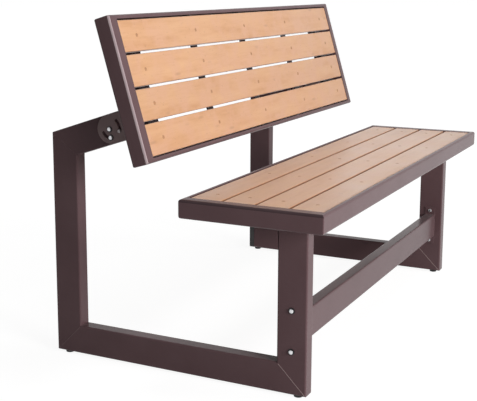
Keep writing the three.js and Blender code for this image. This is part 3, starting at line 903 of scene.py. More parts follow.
class Recipe(Sheet):
    """A Geometry Nodes tree with named inputs, whose result becomes a plain mesh."""

    def __init__(self, name: str, sizes: dict[str, float | int]) -> None:
        """Makes the tree and its inputs.

        Args:
            name: The tree's name.
            sizes: The inputs and their values. Whole numbers are counts, and others are lengths.
        """
        super().__init__(bpy.data.node_groups.new(name, "GeometryNodeTree"))
        self.sizes = sizes
        for label, value in sizes.items():
            kind = "NodeSocketInt" if isinstance(value, int) else "NodeSocketFloat"
            self.tree.interface.new_socket(label, in_out="INPUT", socket_type=kind)
        self.tree.interface.new_socket("Geometry", in_out="OUTPUT", socket_type="NodeSocketGeometry")
        self.inputs = self.node("NodeGroupInput").outputs

    def minus(self, first: Number, second: Number) -> Socket:
        """Adds a difference and returns its socket."""
        return self.node("ShaderNodeMath", {0: first, 1: second}, operation="SUBTRACT").outputs[0]

    def times(self, first: Number, second: Number) -> Socket:
        """Adds a product and returns its socket."""
        return self.node("ShaderNodeMath", {0: first, 1: second}, operation="MULTIPLY").outputs[0]

    def vector(self, x: Number = 0.0, y: Number = 0.0, z: Number = 0.0) -> Socket:
        """Adds a vector and returns its socket."""
        return self.node("ShaderNodeCombineXYZ", {0: x, 1: y, 2: z}).outputs[0]

    def row_reach(self, count: Socket, pitch: Socket) -> Socket:
        """Adds the length of an evenly spaced row and returns its socket."""
        return self.times(self.minus(count, 1), pitch)

    def raised(self, geometry: Socket, z: Number) -> Socket:
        """Adds a move along Z and returns its socket."""
        settings = {"Geometry": geometry, "Translation": self.vector(z=z)}
        return self.node("GeometryNodeTransform", settings).outputs[0]

    def at_points(self, points: Socket, instance: Socket) -> Socket:
        """Adds an instance on each point and returns their socket."""
        settings = {"Points": points, "Instance": instance}
        return self.node("GeometryNodeInstanceOnPoints", settings).outputs[0]

    def real(self, instances: Socket) -> Socket:
        """Adds the step that makes instances real and returns its socket."""
        return self.node("GeometryNodeRealizeInstances", {0: instances}).outputs[0]

    def cut(self, solid: Socket, cutter: Socket) -> Socket:
        """Adds a cut and returns its socket."""
        return self.node("GeometryNodeMeshBoolean", {0: solid, 1: cutter}, operation="DIFFERENCE").outputs[0]

    def store(self, geometry: Socket, name: str, value: Socket) -> Socket:
        """Adds a stored number on every point and returns its socket."""
        settings = {"Geometry": geometry, "Name": name, "Value": value}
        stored = self.node("GeometryNodeStoreNamedAttribute", settings, data_type="FLOAT", domain="POINT")
        return stored.outputs[0]

    def cook(self, geometry: Socket, material: bpy.types.Material) -> bpy.types.Mesh:
        """Ends the tree and turns its result into a mesh.

        Args:
            geometry: The socket of the finished shape.
            material: The finish that it is given.

        Returns:
            A plain mesh, with the modifier and the tree removed.
        """
        settings = {"Geometry": self.real(geometry), "Material": material}
        self.node("NodeGroupOutput", {0: self.node("GeometryNodeSetMaterial", settings).outputs[0]})
        shell = bpy.data.meshes.new("carrier")
        carrier = bpy.data.objects.new("carrier", shell)
        modifier = carrier.modifiers.new("recipe", "NODES")
        modifier.node_group = self.tree
        for item in self.tree.interface.items_tree:
            if item.in_out == "INPUT":
                modifier[item.identifier] = self.sizes[item.name]
        made = evaluated(carrier)
        bpy.data.meshes.remove(shell)
        bpy.data.node_groups.remove(self.tree)
        return made


@dataclass(frozen=True)
class ScrewKind:
    """A small cross-headed screw, in millimetres."""

    head_radius: float
    head_height: float
    cross_length: float
    cross_width: float
    cross_depth: float
    taper: float
    sides: int = 20

    def heads(self, recipe: Recipe, points: Socket) -> Socket:
        """Adds a screw head at each point, standing on Z.

        Args:
            recipe: The tree.
            points: The socket of the points.

        Returns:
            The socket of the instances.
        """
        cone = recipe.node("GeometryNodeMeshCone", {
            "Vertices": self.sides, "Radius Top": (self.head_radius - self.taper) * MM,
            "Radius Bottom": self.head_radius * MM, "Depth": self.head_height * MM,
        }).outputs["Mesh"]
        arms = []
        for x, y in ((self.cross_length, self.cross_width), (self.cross_width, self.cross_length)):
            size = (x * MM, y * MM, 2 * self.cross_depth * MM)
            cube = recipe.node("GeometryNodeMeshCube", {"Size": size}).outputs["Mesh"]
            arms.append(recipe.raised(cube, self.head_height * MM))
        cross = recipe.node("GeometryNodeMeshBoolean", {1: arms}, operation="UNION").outputs[0]
        return recipe.at_points(points, recipe.cut(cone, cross))


@dataclass(frozen=True)
class ScrewField:
    """Screws in rows and columns, with the distances between them in millimetres."""

    columns: int
    rows: int
    column_pitch: float
    row_pitch: float

    def points(self, recipe: Recipe, z: Number) -> Socket:
        """Adds the grid of places.

        Args:
            recipe: The tree, whose inputs hold the grid's own.
            z: The grid's height.

        Returns:
            The socket of the points.
        """
        columns, rows = recipe.inputs["Screw Columns"], recipe.inputs["Screw Rows"]
        grid = recipe.node("GeometryNodeMeshGrid", {
            "Size X": recipe.row_reach(columns, recipe.inputs["Column Pitch"]), "Vertices X": columns,
            "Size Y": recipe.row_reach(rows, recipe.inputs["Row Pitch"]), "Vertices Y": rows,
        }).outputs["Mesh"]
        return recipe.raised(grid, z)

    def inputs(self) -> dict[str, float | int]:
        """The recipe's inputs for the grid, in metres."""
        return {
            "Screw Columns": self.columns, "Screw Rows": self.rows,
            "Column Pitch": self.column_pitch * MM, "Row Pitch": self.row_pitch * MM,
        }


# Sub-assemblies


@dataclass(frozen=True)
class BoltKind:
    """A domed bolt with a washer and a nut, in millimetres."""

    radius: float
    head_radius: float
    head_height: float
    washer_radius: float
    washer_thickness: float
    grip: float
    nut_radius: float = 7.5
    nut_height: float = 5
    nut_chamfer: float = 1.2
    brim: float = 1.2
    edge: float = 0.3
    dome_power: float = 0.9
    dome_steps: int = 8
    washer_dish: float = 0.1
    washer_round: float = 0.4

    def head(self) -> Skin:
        """The domed head, which looks out along Z from above the washer, with its shank."""
        low = self.washer_thickness
        dome = []
        for step in range(self.dome_steps + 1):
            angle = QUARTER * step / self.dome_steps
            rise = (self.head_height - self.brim) * math.cos(angle) ** self.dome_power
            dome.append((self.head_radius * math.sin(angle), low + self.brim + rise))
        return lathe(dome + [
            (self.head_radius, low + self.edge), (self.head_radius - self.edge, low), (self.radius, low),
            (self.radius, -self.grip), (0, -self.grip),
        ], 36)

    def nut(self) -> Skin:
        """The hexagon nut below the grip, with the bolt's end in it."""
        low, high, chamfer = -self.grip - self.nut_height, -self.grip, self.nut_chamfer
        steps = ((chamfer, low), (0, low + chamfer), (0, high - chamfer / 3), (chamfer / 3, high))
        rings = [level(circle(self.nut_radius - inset, 6), z) for inset, z in steps]
        end = lathe([(0, high), (self.radius, high), (self.radius, low), (0, low)], 24)
        return joined([bridge(rings, closed=False), end])

    def washer(self) -> Skin:
        """The washer under the head."""
        outer, high, soft = self.washer_radius, self.washer_thickness, self.washer_round
        return lathe([
            (0, self.washer_dish), (outer - self.edge, 0), (outer, self.edge), (outer, high - soft),
            (outer - soft, high), (0, high),
        ], 36)


@dataclass(frozen=True)
class Layout:
    """Places and gaps that sub-assemblies share, in millimetres and radians, with the pivot in metres."""

    pivot: Vector
    fit_gap: float = 0.3
    leg_inner_x: float = 574
    leg_outer_x: float = 612
    front_leg_y: float = -280
    seat_middle_y: float = -207.5
    seat_underside: float = 424
    recline: float = math.radians(16.5)
    back_offset: float = 88
    back_rise: float = 75.3

    @property
    def leg_middle_x(self) -> float:
        """The middle plane of a side frame."""
        return (self.leg_outer_x + self.leg_inner_x) / 2

    @property
    def seat(self) -> Matrix:
        """From a panel's own axes to the seat."""
        return shift(0, self.seat_middle_y, self.seat_underside)

    @property
    def bracket(self) -> Matrix:
        """From a hinge bracket's own axes, around the pivot, to the bench."""
        return Matrix.Translation(self.pivot) @ about_x(-self.recline)

    @property
    def back(self) -> Matrix:
        """From a panel's own axes to the backrest."""
        return self.bracket @ shift(0, -self.back_offset, self.back_rise) @ about_x(QUARTER)


@dataclass(kw_only=True)
class SubAssembly:
    """What every sub-assembly has: the shared places, the finishes and the way to a dressed piece."""

    layout: Layout
    palette: Palette

    def finished(self, name: str, shape: Skin | bpy.types.Mesh, look: Look) -> bpy.types.Object:
        """Makes a piece that sits at the origin, shaded smooth up to an angle.

        Args:
            name: The piece's name.
            shape: Its shape, in metres and in place.
            look: Its finish.

        Returns:
            The new object.
        """
        mesh = shape
        if isinstance(shape, Skin):
            mesh = bpy.data.meshes.new(name)
            shape.to_mesh(mesh)
            shape.free()
        mesh.name = name
        mesh.materials.clear()
        mesh.materials.append(self.palette.of(look))
        mesh.polygons.foreach_set("material_index", [0] * len(mesh.polygons))
        mesh.polygons.foreach_set("use_smooth", [True] * len(mesh.polygons))
        mesh.set_sharp_from_angle(angle=SMOOTH_ANGLE)
        made = bpy.data.objects.new(name, mesh)
        bpy.context.scene.collection.objects.link(made)
        weighting = made.modifiers.new("even_shading", "WEIGHTED_NORMAL")
        weighting.keep_sharp = True
        return made

    def publish(self, piece: bpy.types.Object, look: Look, body: Body, *nodes: str) -> None:
        """Puts a finished piece on its body and reports it.

        Args:
            piece: The piece.
            look: Its finish; not used.
            body: The body that it rides on.
            nodes: CAD nodes that it stands for.
        """
        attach(piece, body.value)
        if nodes:
            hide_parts(*nodes)
        LOG.info("%s: %d faces on %s", piece.name, len(piece.data.polygons), body.value)

    def dress(
        self, name: str, shape: Skin | bpy.types.Mesh, look: Look, body: Body, *nodes: str
    ) -> None:
        """Finishes a shape and puts it on its body, in place of any CAD nodes."""
        self.publish(self.finished(name, shape, look), look, body, *nodes)

    def bolt(self, node: str, kind: BoltKind, side: Side, x: float, y: float, z: float) -> None:
        """Makes a bolt of the frame with its washer and nut, in place of a CAD node.

        Args:
            node: The CAD node.
            kind: The bolt's sizes.
            side: The side that its head looks out of.
            x, y, z: Where the washer's underside is, with X as a distance from the middle.
        """
        matrix = out_of_side(side, x, y, z)
        steel = turned(joined([kind.head(), kind.nut()]), matrix)
        self.dress(f"{node}_and_nut", steel, Look.STEEL, Body.FRAME, node)
        # The washer is dark steel, and its dark ring round the head also stands in for painted shade.
        self.dress(f"{node}_washer", turned(kind.washer(), matrix), Look.LEVER, Body.FRAME)


@dataclass(kw_only=True)
class SideFrame(SubAssembly):
    """A loop of mitred tube that stands on two feet and ends in the arm. Sizes in millimetres."""

    side: Side
    rear_leg_y: float = 350
    rail_z: float = 45.5
    rear_corner: float = 588
    arm_slope: float = math.radians(18.3)
    arm_pivot: float = 149.1
    arm_nose: float = 30
    nose_wall: float = 3
    bearer_depth: float = 68.5
    bearer_length: float = 60.5
    cap_length: float = 12
    cap_root: tuple[Point2, ...] = ((4.5, -9), (2.5, -8), (2.5, 0), (0.3, 0), (0, 0.4))
    cap_face: tuple[Point2, ...] = ((0, 2.5), (0.7, 0.8), (2.4, 0))
    foot_height: float = 8
    foot_radius: float = 11
    foot_inset: float = 26
    foot_sole: tuple[Point2, ...] = (
        (4, 0.5), (3.4, 0), (1.4, 0), (0.4, 0.5), (0, 1.4), (0, 3.2), (0.5, 3.6), (0.5, 4.2), (0, 4.6))
    foot_shoulder: tuple[Point2, ...] = ((0, 0.9), (0.3, 0.25), (1, 0))
    stem_radius: float = 4
    stem_length: float = 12
    stem_tip_radius: float = 3.2
    stem_tip_length: float = 1
    weld_radius: float = 1.3
    weld_sink: float = 0.75
    weld_steps: int = 12
    tube: Tube = Tube(width=38, depth=75)

    @property
    def corner_turn(self) -> float:
        """Half the turn of the tube at the rear upper corner."""
        return (QUARTER - self.arm_slope) / 2

    @property
    def arm_corner_z(self) -> float:
        """Height where the middle lines of the rear leg and the arm meet."""
        return self.rear_corner - self.tube.depth / 2 * math.tan(self.corner_turn)

    @property
    def tube_top(self) -> float:
        """Height of the tubes that carry the seat."""
        return self.layout.seat_underside - self.layout.fit_gap

    def at(self, y: float, z: float) -> Matrix:
        """A move to a place on this side's middle plane."""
        return shift(self.side.value * self.layout.leg_middle_x, y, z)

    def build(self) -> None:
        """Makes and dresses every piece of the side frame."""
        self.tubes()
        self.welds()
        self.bearer()
        self.feet()

    def member(self, name: str, skin: Skin, matrix: Matrix) -> None:
        """Dresses one tube, which stands for the CAD node of the same name."""
        label = f"{self.side.label}_{name}"
        self.dress(f"{label}_tube", turned(skin, matrix), Look.PAINT, Body.FRAME, label)

    def tubes(self) -> None:
        """Makes the front leg, the bottom rail, the rear leg and the arm."""
        gap = self.layout.fit_gap / 2
        square = gap / math.cos(QUARTER / 2)
        slanted = gap / math.cos(self.corner_turn)
        slope = math.tan(self.corner_turn)
        front_y, rear_y, rail_z = self.layout.front_leg_y, self.rear_leg_y, self.rail_z
        arm_reach = self.arm_pivot + self.arm_nose
        front_corner = self.at(front_y, rail_z)
        self.member("front_leg", self.tube.bar(square, self.tube_top - rail_z, 1), front_corner)
        self.member(
            "bottom_rail", self.tube.bar(square, rear_y - front_y - square, -1, 1),
            front_corner @ about_x(-QUARTER))
        self.member(
            "rear_leg", self.tube.bar(square, self.arm_corner_z - rail_z - slanted, -1, slope),
            self.at(rear_y, rail_z))
        self.member(
            "hinge_arm", self.tube.bar(slanted, arm_reach, -slope, nose=self.nose_wall),
            self.at(rear_y, self.arm_corner_z) @ about_x(QUARTER - self.arm_slope))

    def welds(self) -> None:
        """Makes the fine weld lines that follow the mitres on both faces of the loop, the front and rear ones
        paler than the paint as a painted highlight, fainter at the rear.
        """
        half = self.tube.depth / 2 - self.tube.radius
        lean = math.tan(self.corner_turn)
        mitres = [
            ("front", Look.WELD, self.layout.front_leg_y, self.rail_z, 1, 1),
            ("rear", Look.FAINT_WELD_HIGHLIGHT, self.rear_leg_y, self.rail_z, -1, 1),
            ("arm", Look.PAINT, self.rear_leg_y, self.arm_corner_z, 1, lean),
        ]
        for name, look, y, z, across, rise in mitres:
            beads = []
            for face in (-1, 1):
                x = self.side.value * self.layout.leg_middle_x + face * (self.tube.width / 2 - self.weld_sink)
                low, high = (Vector((x, y + s * half * across, z + s * half * rise)) for s in (-1, 1))
                path = [low.lerp(high, i / self.weld_steps) for i in range(self.weld_steps + 1)]
                beads.append(bead(path, self.weld_radius, closed=False))
            self.dress(f"{self.side.label}_{name}_weld", joined(beads), look, Body.FRAME)

    def bearer(self) -> None:
        """Makes the seat bearer behind the front leg, and the black cap in its end."""
        tube = Tube(self.tube.width, self.bearer_depth)
        y = self.layout.front_leg_y + self.tube.depth / 2
        matrix = self.at(y, self.tube_top - self.bearer_depth / 2) @ about_x(-QUARTER)
        self.member("seat_bearer", tube.bar(self.layout.fit_gap, self.bearer_length), matrix)
        start = self.bearer_length + self.layout.fit_gap
        end = self.bearer_length + self.cap_length
        rings = [tube.ring(inset, start + z) for inset, z in self.cap_root]
        rings += [tube.ring(inset, end - z) for inset, z in self.cap_face]
        cap = turned(bridge(rings, closed=False), matrix)
        label = self.side.label
        self.dress(f"{label}_bearer_end_cap", cap, Look.PLASTIC, Body.FRAME, f"{label}_bearer_cap")

    def feet(self) -> None:
        """Makes the two glide feet, each with a stem that goes up into the rail."""
        top, tip = self.foot_height - self.layout.fit_gap, self.stem_length - self.stem_tip_length
        sole = [(self.foot_radius - inset, z) for inset, z in self.foot_sole]
        shoulder = [(self.foot_radius - inset, top - z) for inset, z in self.foot_shoulder]
        stem = [
            (self.stem_radius, top), (self.stem_radius, top + tip),
            (self.stem_tip_radius, top + self.stem_length), (0, top + self.stem_length),
        ]
        profile = [(0, sole[0][1]), *sole, *shoulder, *stem]
        inset = self.foot_inset - self.tube.depth / 2
        places = {"front": self.layout.front_leg_y + inset, "rear": self.rear_leg_y - inset}
        for label, y in places.items():
            node = f"{self.side.label}_{label}_foot"
            foot = turned(lathe(profile, 40), self.at(y, 0))
            self.dress(f"{node}_glide", foot, Look.PLASTIC, Body.FRAME, node)


@dataclass(kw_only=True)
class Stretcher(SubAssembly):
    """The tube between the front legs, with a bolted plate at each end. Sizes in millimetres."""

    middle_z: float = 164
    plate_thickness: float = 4
    plate_reach: float = 24
    plate_radius: float = 3
    plate_edge: float = 0.5
    bolt_reach: float = 12.5
    weld_radius: float = 1.76
    weld_inset_y: float = 0.9
    weld_inset_z: float = 0.3
    weld_steps: int = 6
    tube: Tube = Tube(width=33, depth=75)
    bolt_kind: BoltKind = BoltKind(
        radius=3, head_radius=5.3, head_height=4, washer_radius=7.8, washer_thickness=1.6, grip=42.9,
        nut_radius=5.8)

    def end_weld(self, x: float) -> Skin:
        """The weld round one end of the tube.

        Args:
            x: Where the tube meets the plate.

        Returns:
            The bead's skin.
        """
        tube, steps = self.tube, self.weld_steps
        half_y, half_z = tube.width / 2 - self.weld_inset_y, tube.depth / 2 - self.weld_inset_z
        path = [Vector((x, y, z)) for y, z in rounded_loop(half_y, half_z, tube.radius, 4)]
        pairs = zip(path, path[1:] + path[:1])
        dense = [first.lerp(second, part / steps) for first, second in pairs for part in range(steps)]
        return bead(dense, self.weld_radius, closed=True)

    def build(self) -> None:
        """Makes the stretcher and its four bolts."""
        front_y = self.layout.front_leg_y
        plate_x = self.layout.leg_inner_x - self.layout.fit_gap
        end = plate_x - self.plate_thickness / 2
        size = (self.tube.width, self.tube.depth + 2 * self.plate_reach, self.plate_thickness)
        parts = [turned(self.tube.bar(-end, end), Z_TO_X)]
        for side in Side:
            plate = slab(size, self.plate_radius, self.plate_edge)
            parts.append(turned(plate, shift(side.value * end, 0, 0) @ Z_TO_X))
            parts.append(self.end_weld(side.value * (plate_x - self.plate_thickness)))
        bar = turned(joined(parts), shift(0, front_y, self.middle_z))
        self.dress("stretcher_bar", bar, Look.PAINT, Body.FRAME, "stretcher")
        reach = self.tube.depth / 2 + self.bolt_reach
        head_x = self.layout.leg_outer_x + self.layout.fit_gap
        for side in Side:
            for label, rise in (("lower", -reach), ("upper", reach)):
                node = f"{side.label}_{label}_stretcher_bolt"
                self.bolt(node, self.bolt_kind, side, head_x, front_y, self.middle_z + rise)


@dataclass(kw_only=True)
class FramedPanel(SubAssembly):
    """A rim around four boards, the same for the seat and the backrest. Sizes in millimetres."""

    prefix: str
    body: Body
    place: Matrix
    seed: int
    # Finish of the rim's end edges, which is painted light: a painted highlight or painted shade.
    painted_light_look: Look
    edge_lean: float
    edge_rise: float = 0.05
    edge_limit: float = 0.999
    length: float = 1397
    width: float = 360
    thickness: float = 46
    wall: float = 2.5
    lip: float = 11
    back_lip: float = 15
    end_lip: float = 29.5
    lip_round: float = 0.8
    lip_round_share: float = 0.3
    edge_radius: float = 6.5
    corner_radius: float = 2.6
    least_corner: float = 0.8
    round_steps: int = 6
    web_radius: float = 0.6
    web_edge: float = 0.3
    web_gap: float = 0.05
    board_count: int = 4
    board_gap: float = 6.5
    board_thickness: float = 16
    board_recess: float = 1.5
    board_edge: float = 2.5
    board_edge_steps: int = 5
    board_end_gap: float = 0.8
    sink_radius: float = 5.0
    sink_depth: float = 0.45
    sink_sides: int = 24
    head_gap: float = 0.1
    screw: ScrewKind = ScrewKind(
        head_radius=4.8, head_height=0.6, cross_length=4.6, cross_width=1.1, cross_depth=0.4, taper=0.4)
    point_radius: float = 2.1
    point_tip: float = 0.4
    point_length: float = 9
    point_reach: float = 7
    point_sides: int = 14
    cross_inset: float = 100.5
    cross_count: int = 5
    cross_gap: float = 0.3
    end_cross_width: float = 50
    end_cross_radius: float = 3
    middle_cross_width: float = 35
    middle_cross_thickness: float = 3
    middle_cross_radius: float = 0.8
    middle_cross_edge: float = 0.5

    @property
    def pitch(self) -> float:
        """Distance from one board's middle to the next."""
        return (self.width - 2 * self.lip) / self.board_count

    @property
    def board_top(self) -> float:
        """Height of the boards' faces above the panel's underside."""
        return self.thickness - self.board_recess

    @property
    def cross_top(self) -> float:
        """Height of the cross members' upper faces."""
        return self.board_top - self.board_thickness - self.cross_gap

    @property
    def screw_field(self) -> ScrewField:
        """Where the boards' screws go: one for each board on each cross member."""
        column_pitch = (self.length - 2 * self.cross_inset) / (self.cross_count - 1)
        return ScrewField(self.cross_count, self.board_count, column_pitch, self.pitch)

    def node(self, name: str) -> str:
        """The CAD node of one of this panel's pieces."""
        return f"{self.prefix}_{name}"

    def build(self) -> None:
        """Makes and dresses every piece of the panel."""
        self.rim()
        self.boards()
        self.screws()
        self.screw_points()
        self.cross_members()

    def rim_section(self) -> list[Triple]:
        """The rim's section, from the back lip round the outside to the inside.

        Returns:
            Each point's inset at the two ends, its inset at the front and rear, and its height.
        """
        top, radius, wall, soft = self.thickness, self.edge_radius, self.wall, self.lip_round
        outside = arc((radius, radius), radius, -QUARTER, -QUARTER, self.round_steps)
        outside += arc((radius, top - radius), radius, math.pi, -QUARTER, self.round_steps)
        inner_edge = [
            (self.end_lip - inset, self.lip - inset, top - drop)
            for inset, drop in ((soft, 0), (soft * self.lip_round_share,) * 2, (0, soft), (0, wall))
        ]
        inside = [(wall, wall, top - wall), (wall, wall, wall), (self.lip, self.back_lip, wall)]
        return [(self.lip, self.back_lip, 0), *((i, i, z) for i, z in outside), *inner_edge, *inside]

    def rim_skin(self) -> Skin:
        """The seamless rim, a channel that opens inward, with a web behind each end lip."""
        rings = []
        for inset_x, inset_y, z in self.rim_section():
            corner = max(self.corner_radius - min(inset_x, inset_y), self.least_corner)
            half_x, half_y = self.length / 2 - inset_x, self.width / 2 - inset_y
            rings.append(level(rounded_loop(half_x, half_y, corner, self.round_steps), z))
        parts = [bridge(rings, closed=True)]
        web = (self.wall, self.width - 2 * self.wall, self.thickness - 2 * self.wall)
        web_x = self.length / 2 - self.end_lip + self.wall / 2 + self.web_gap
        for side in Side:
            plate = slab(web, self.web_radius, self.web_edge)
            parts.append(turned(plate, shift(side.value * web_x, 0, self.thickness / 2)))
        return joined(parts)

    def is_end_edge(self, face: bmesh.types.BMFace) -> bool:
        """Tells whether a face of the rim belongs to the rounding along an end's upper edge.

        Args:
            face: A face of the rim in the panel's own axes.

        Returns:
            True where it does.
        """
        middle = face.calc_center_median()
        near_end = abs(middle.x) > (self.length / 2 - self.edge_radius) * MM
        near_top = middle.z > (self.thickness - self.edge_radius) * MM
        leaning = self.edge_lean < abs(face.normal.x) < self.edge_limit and face.normal.z > self.edge_rise
        return near_end and near_top and leaning

    def rim(self) -> None:
        """Makes the rim, whose end edges carry the panel's painted light: a paler or darker copy of the coat.
        """
        skin = self.rim_skin()
        skin.normal_update()
        end_edges = [index for index, face in enumerate(skin.faces) if self.is_end_edge(face)]
        rim = self.finished(self.node("rim"), turned(skin, self.place), Look.PAINT)
        rim.data.materials.append(self.palette.of(self.painted_light_look))
        for index in end_edges:
            rim.data.polygons[index].material_index = 1
        rails = ("front_rail", "rear_rail", "right_end_rail", "left_end_rail")
        self.publish(rim, Look.PAINT, self.body, *(self.node(name) for name in rails))

    def one_board(self, recipe: Recipe) -> Socket:
        """Adds a board with rounded long edges, which lies along X around the origin.

        Args:
            recipe: The tree.

        Returns:
            The board's socket.
        """
        given = recipe.inputs
        outline = recipe.node("GeometryNodeCurvePrimitiveQuadrilateral", {
            "Width": given["Board Width"], "Height": given["Board Thickness"],
        }).outputs["Curve"]
        softened = recipe.node("GeometryNodeFilletCurve", {
            "Curve": outline, "Radius": given["Edge Radius"], "Count": self.board_edge_steps,
        }, mode="POLY").outputs[0]
        face = recipe.node("GeometryNodeFillCurve", {"Curve": softened}, mode="NGONS").outputs[0]
        length = given["Board Length"]
        drawn = recipe.node("GeometryNodeExtrudeMesh", {
            "Mesh": face, "Offset": recipe.vector(z=length), "Offset Scale": 1.0, "Individual": False,
        }).outputs["Mesh"]
        back = recipe.node("GeometryNodeFlipFaces", {"Mesh": face}).outputs[0]
        both = recipe.node("GeometryNodeJoinGeometry", {0: [drawn, back]}).outputs[0]
        closed = recipe.node("GeometryNodeMergeByDistance", {"Geometry": both}).outputs[0]
        return recipe.node("GeometryNodeTransform", {
            "Geometry": closed, "Rotation": Z_TO_X.to_euler(),
            "Translation": recipe.vector(x=recipe.times(length, -0.5)),
        }).outputs[0]

    def all_boards(self, recipe: Recipe) -> Socket:
        """Adds the boards side by side, as real meshes.

        Args:
            recipe: The tree.

        Returns:
            Their socket.
        """
        count, pitch = recipe.inputs["Board Count"], recipe.inputs["Row Pitch"]
        start = recipe.times(recipe.row_reach(count, pitch), -0.5)
        line = recipe.node("GeometryNodeMeshLine", {
            "Count": count, "Start Location": recipe.vector(y=start), "Offset": recipe.vector(y=pitch),
        }).outputs["Mesh"]
        return recipe.real(recipe.at_points(line, self.one_board(recipe)))

    def sinks(self, recipe: Recipe, top: Socket) -> Socket:
        """Adds the cutters for the countersinks.

        Args:
            recipe: The tree.
            top: Height of the boards' faces.

        Returns:
            The cutters' socket.
        """
        depth = recipe.inputs["Sink Depth"]
        sink = recipe.node("GeometryNodeMeshCylinder", {
            "Vertices": self.sink_sides, "Radius": recipe.inputs["Sink Radius"],
            "Depth": recipe.times(depth, 2.0),
        }).outputs["Mesh"]
        points = self.screw_field.points(recipe, recipe.minus(top, depth))
        return recipe.real(recipe.at_points(points, recipe.raised(sink, depth)))

    def marked(self, recipe: Recipe, boards: Socket, top: Socket) -> Socket:
        """Adds what the wood reads: a tone for each board, and how far a point is below the face, which sets
        the painted shade.

        Args:
            recipe: The tree.
            boards: The boards' socket.
            top: Height of their faces.

        Returns:
            The boards' new socket.
        """
        island = recipe.node("GeometryNodeInputMeshIsland").outputs["Island Index"]
        chance = recipe.node(
            "FunctionNodeRandomValue", {"ID": island, "Seed": recipe.inputs["Seed"]}, data_type="FLOAT")
        tone = next(socket for socket in chance.outputs if socket.enabled)
        place = recipe.node("GeometryNodeInputPosition").outputs[0]
        height = recipe.node("ShaderNodeSeparateXYZ", {0: place}).outputs["Z"]
        # Depth below the face, which the wood turns into painted shade.
        below = recipe.span(height, top, recipe.minus(top, recipe.inputs["Edge Radius"]), 0.0, 1.0)
        wood = Look.WOOD.finish
        return recipe.store(recipe.store(boards, wood.tone_attribute, tone), wood.gap_shade_attribute, below)

    def boards(self) -> None:
        """Makes the boards, with a countersink for each screw."""
        recipe = Recipe("boards", {
            "Board Length": (self.length - 2 * (self.end_lip + self.board_end_gap)) * MM,
            "Board Width": (self.pitch - self.board_gap) * MM,
            "Board Thickness": self.board_thickness * MM,
            "Edge Radius": self.board_edge * MM,
            "Board Count": self.board_count,
            "Sink Radius": self.sink_radius * MM,
            "Sink Depth": self.sink_depth * MM,
            "Seed": self.seed,
            **self.screw_field.inputs(),
        })
        top = recipe.times(recipe.inputs["Board Thickness"], 0.5)
        cut = recipe.cut(self.all_boards(recipe), self.sinks(recipe, top))
        mesh = recipe.cook(self.marked(recipe, cut, top), self.palette.of(Look.WOOD))
        mesh.transform(self.place @ shift(0, 0, self.board_top - self.board_thickness / 2))
        slats = (self.node(f"slat_{number}") for number in range(1, self.board_count + 1))
        self.dress(self.node("boards"), mesh, Look.WOOD, self.body, *slats)

    def screws(self) -> None:
        """Makes the screws that hold the boards."""
        height = self.board_top - self.sink_depth - self.head_gap
        recipe = Recipe("board_screws", {"Head Height": height * MM, **self.screw_field.inputs()})
        heads = self.screw.heads(recipe, self.screw_field.points(recipe, recipe.inputs["Head Height"]))
        mesh = recipe.cook(heads, self.palette.of(Look.SCREW))
        mesh.transform(self.place)
        self.dress(self.node("board_screws"), mesh, Look.SCREW, self.body)

    def screw_points(self) -> None:
        """Makes the screws' points, which come out behind the flat bars."""
        recipe = Recipe("screw_points", {
            "Point Radius": self.point_radius * MM, "Point Length": self.point_length * MM,
            **self.screw_field.inputs(),
        })
        cone = recipe.node("GeometryNodeMeshCone", {
            "Vertices": self.point_sides, "Radius Top": recipe.inputs["Point Radius"],
            "Radius Bottom": self.point_tip * MM, "Depth": recipe.inputs["Point Length"],
        }).outputs["Mesh"]
        points = recipe.at_points(self.screw_field.points(recipe, 0.0), cone)
        mesh = recipe.cook(points, self.palette.of(Look.STEEL))
        bar_back = self.cross_top - self.middle_cross_thickness
        mesh.transform(self.place @ shift(0, 0, bar_back - self.point_reach))
        self.dress(self.node("screw_points"), mesh, Look.STEEL, self.body)

    def cross_members(self) -> None:
        """Makes the end tubes and the flat bars that carry the boards, one piece for each CAD node, in a
        darker coat that is painted shade under the boards.
        """
        height, thickness = self.cross_top, self.middle_cross_thickness
        tube = Tube(self.end_cross_width, height, self.end_cross_radius)
        tube_reach = self.width / 2 - self.back_lip - self.cross_gap
        flat_length = self.width - 2 * (self.wall + self.cross_gap)
        flat_size = (self.middle_cross_width, thickness, flat_length)
        flat_radius = self.middle_cross_radius
        for index in range(self.cross_count):
            if index in (0, self.cross_count - 1):
                skin, label, z = tube.bar(-tube_reach, tube_reach), "cross_tube", height / 2
            else:
                skin = slab(flat_size, flat_radius, self.middle_cross_edge, 3, flat_radius)
                label, z = "cross_flat", height - thickness / 2
            x = (index - (self.cross_count - 1) / 2) * self.screw_field.column_pitch
            member = turned(skin, self.place @ shift(x, 0, z) @ about_x(QUARTER))
            number = index + 1
            self.dress(
                self.node(f"{label}_{number}"), member, Look.CROSS_MEMBER, self.body,
                self.node(f"cross_member_{number}"))


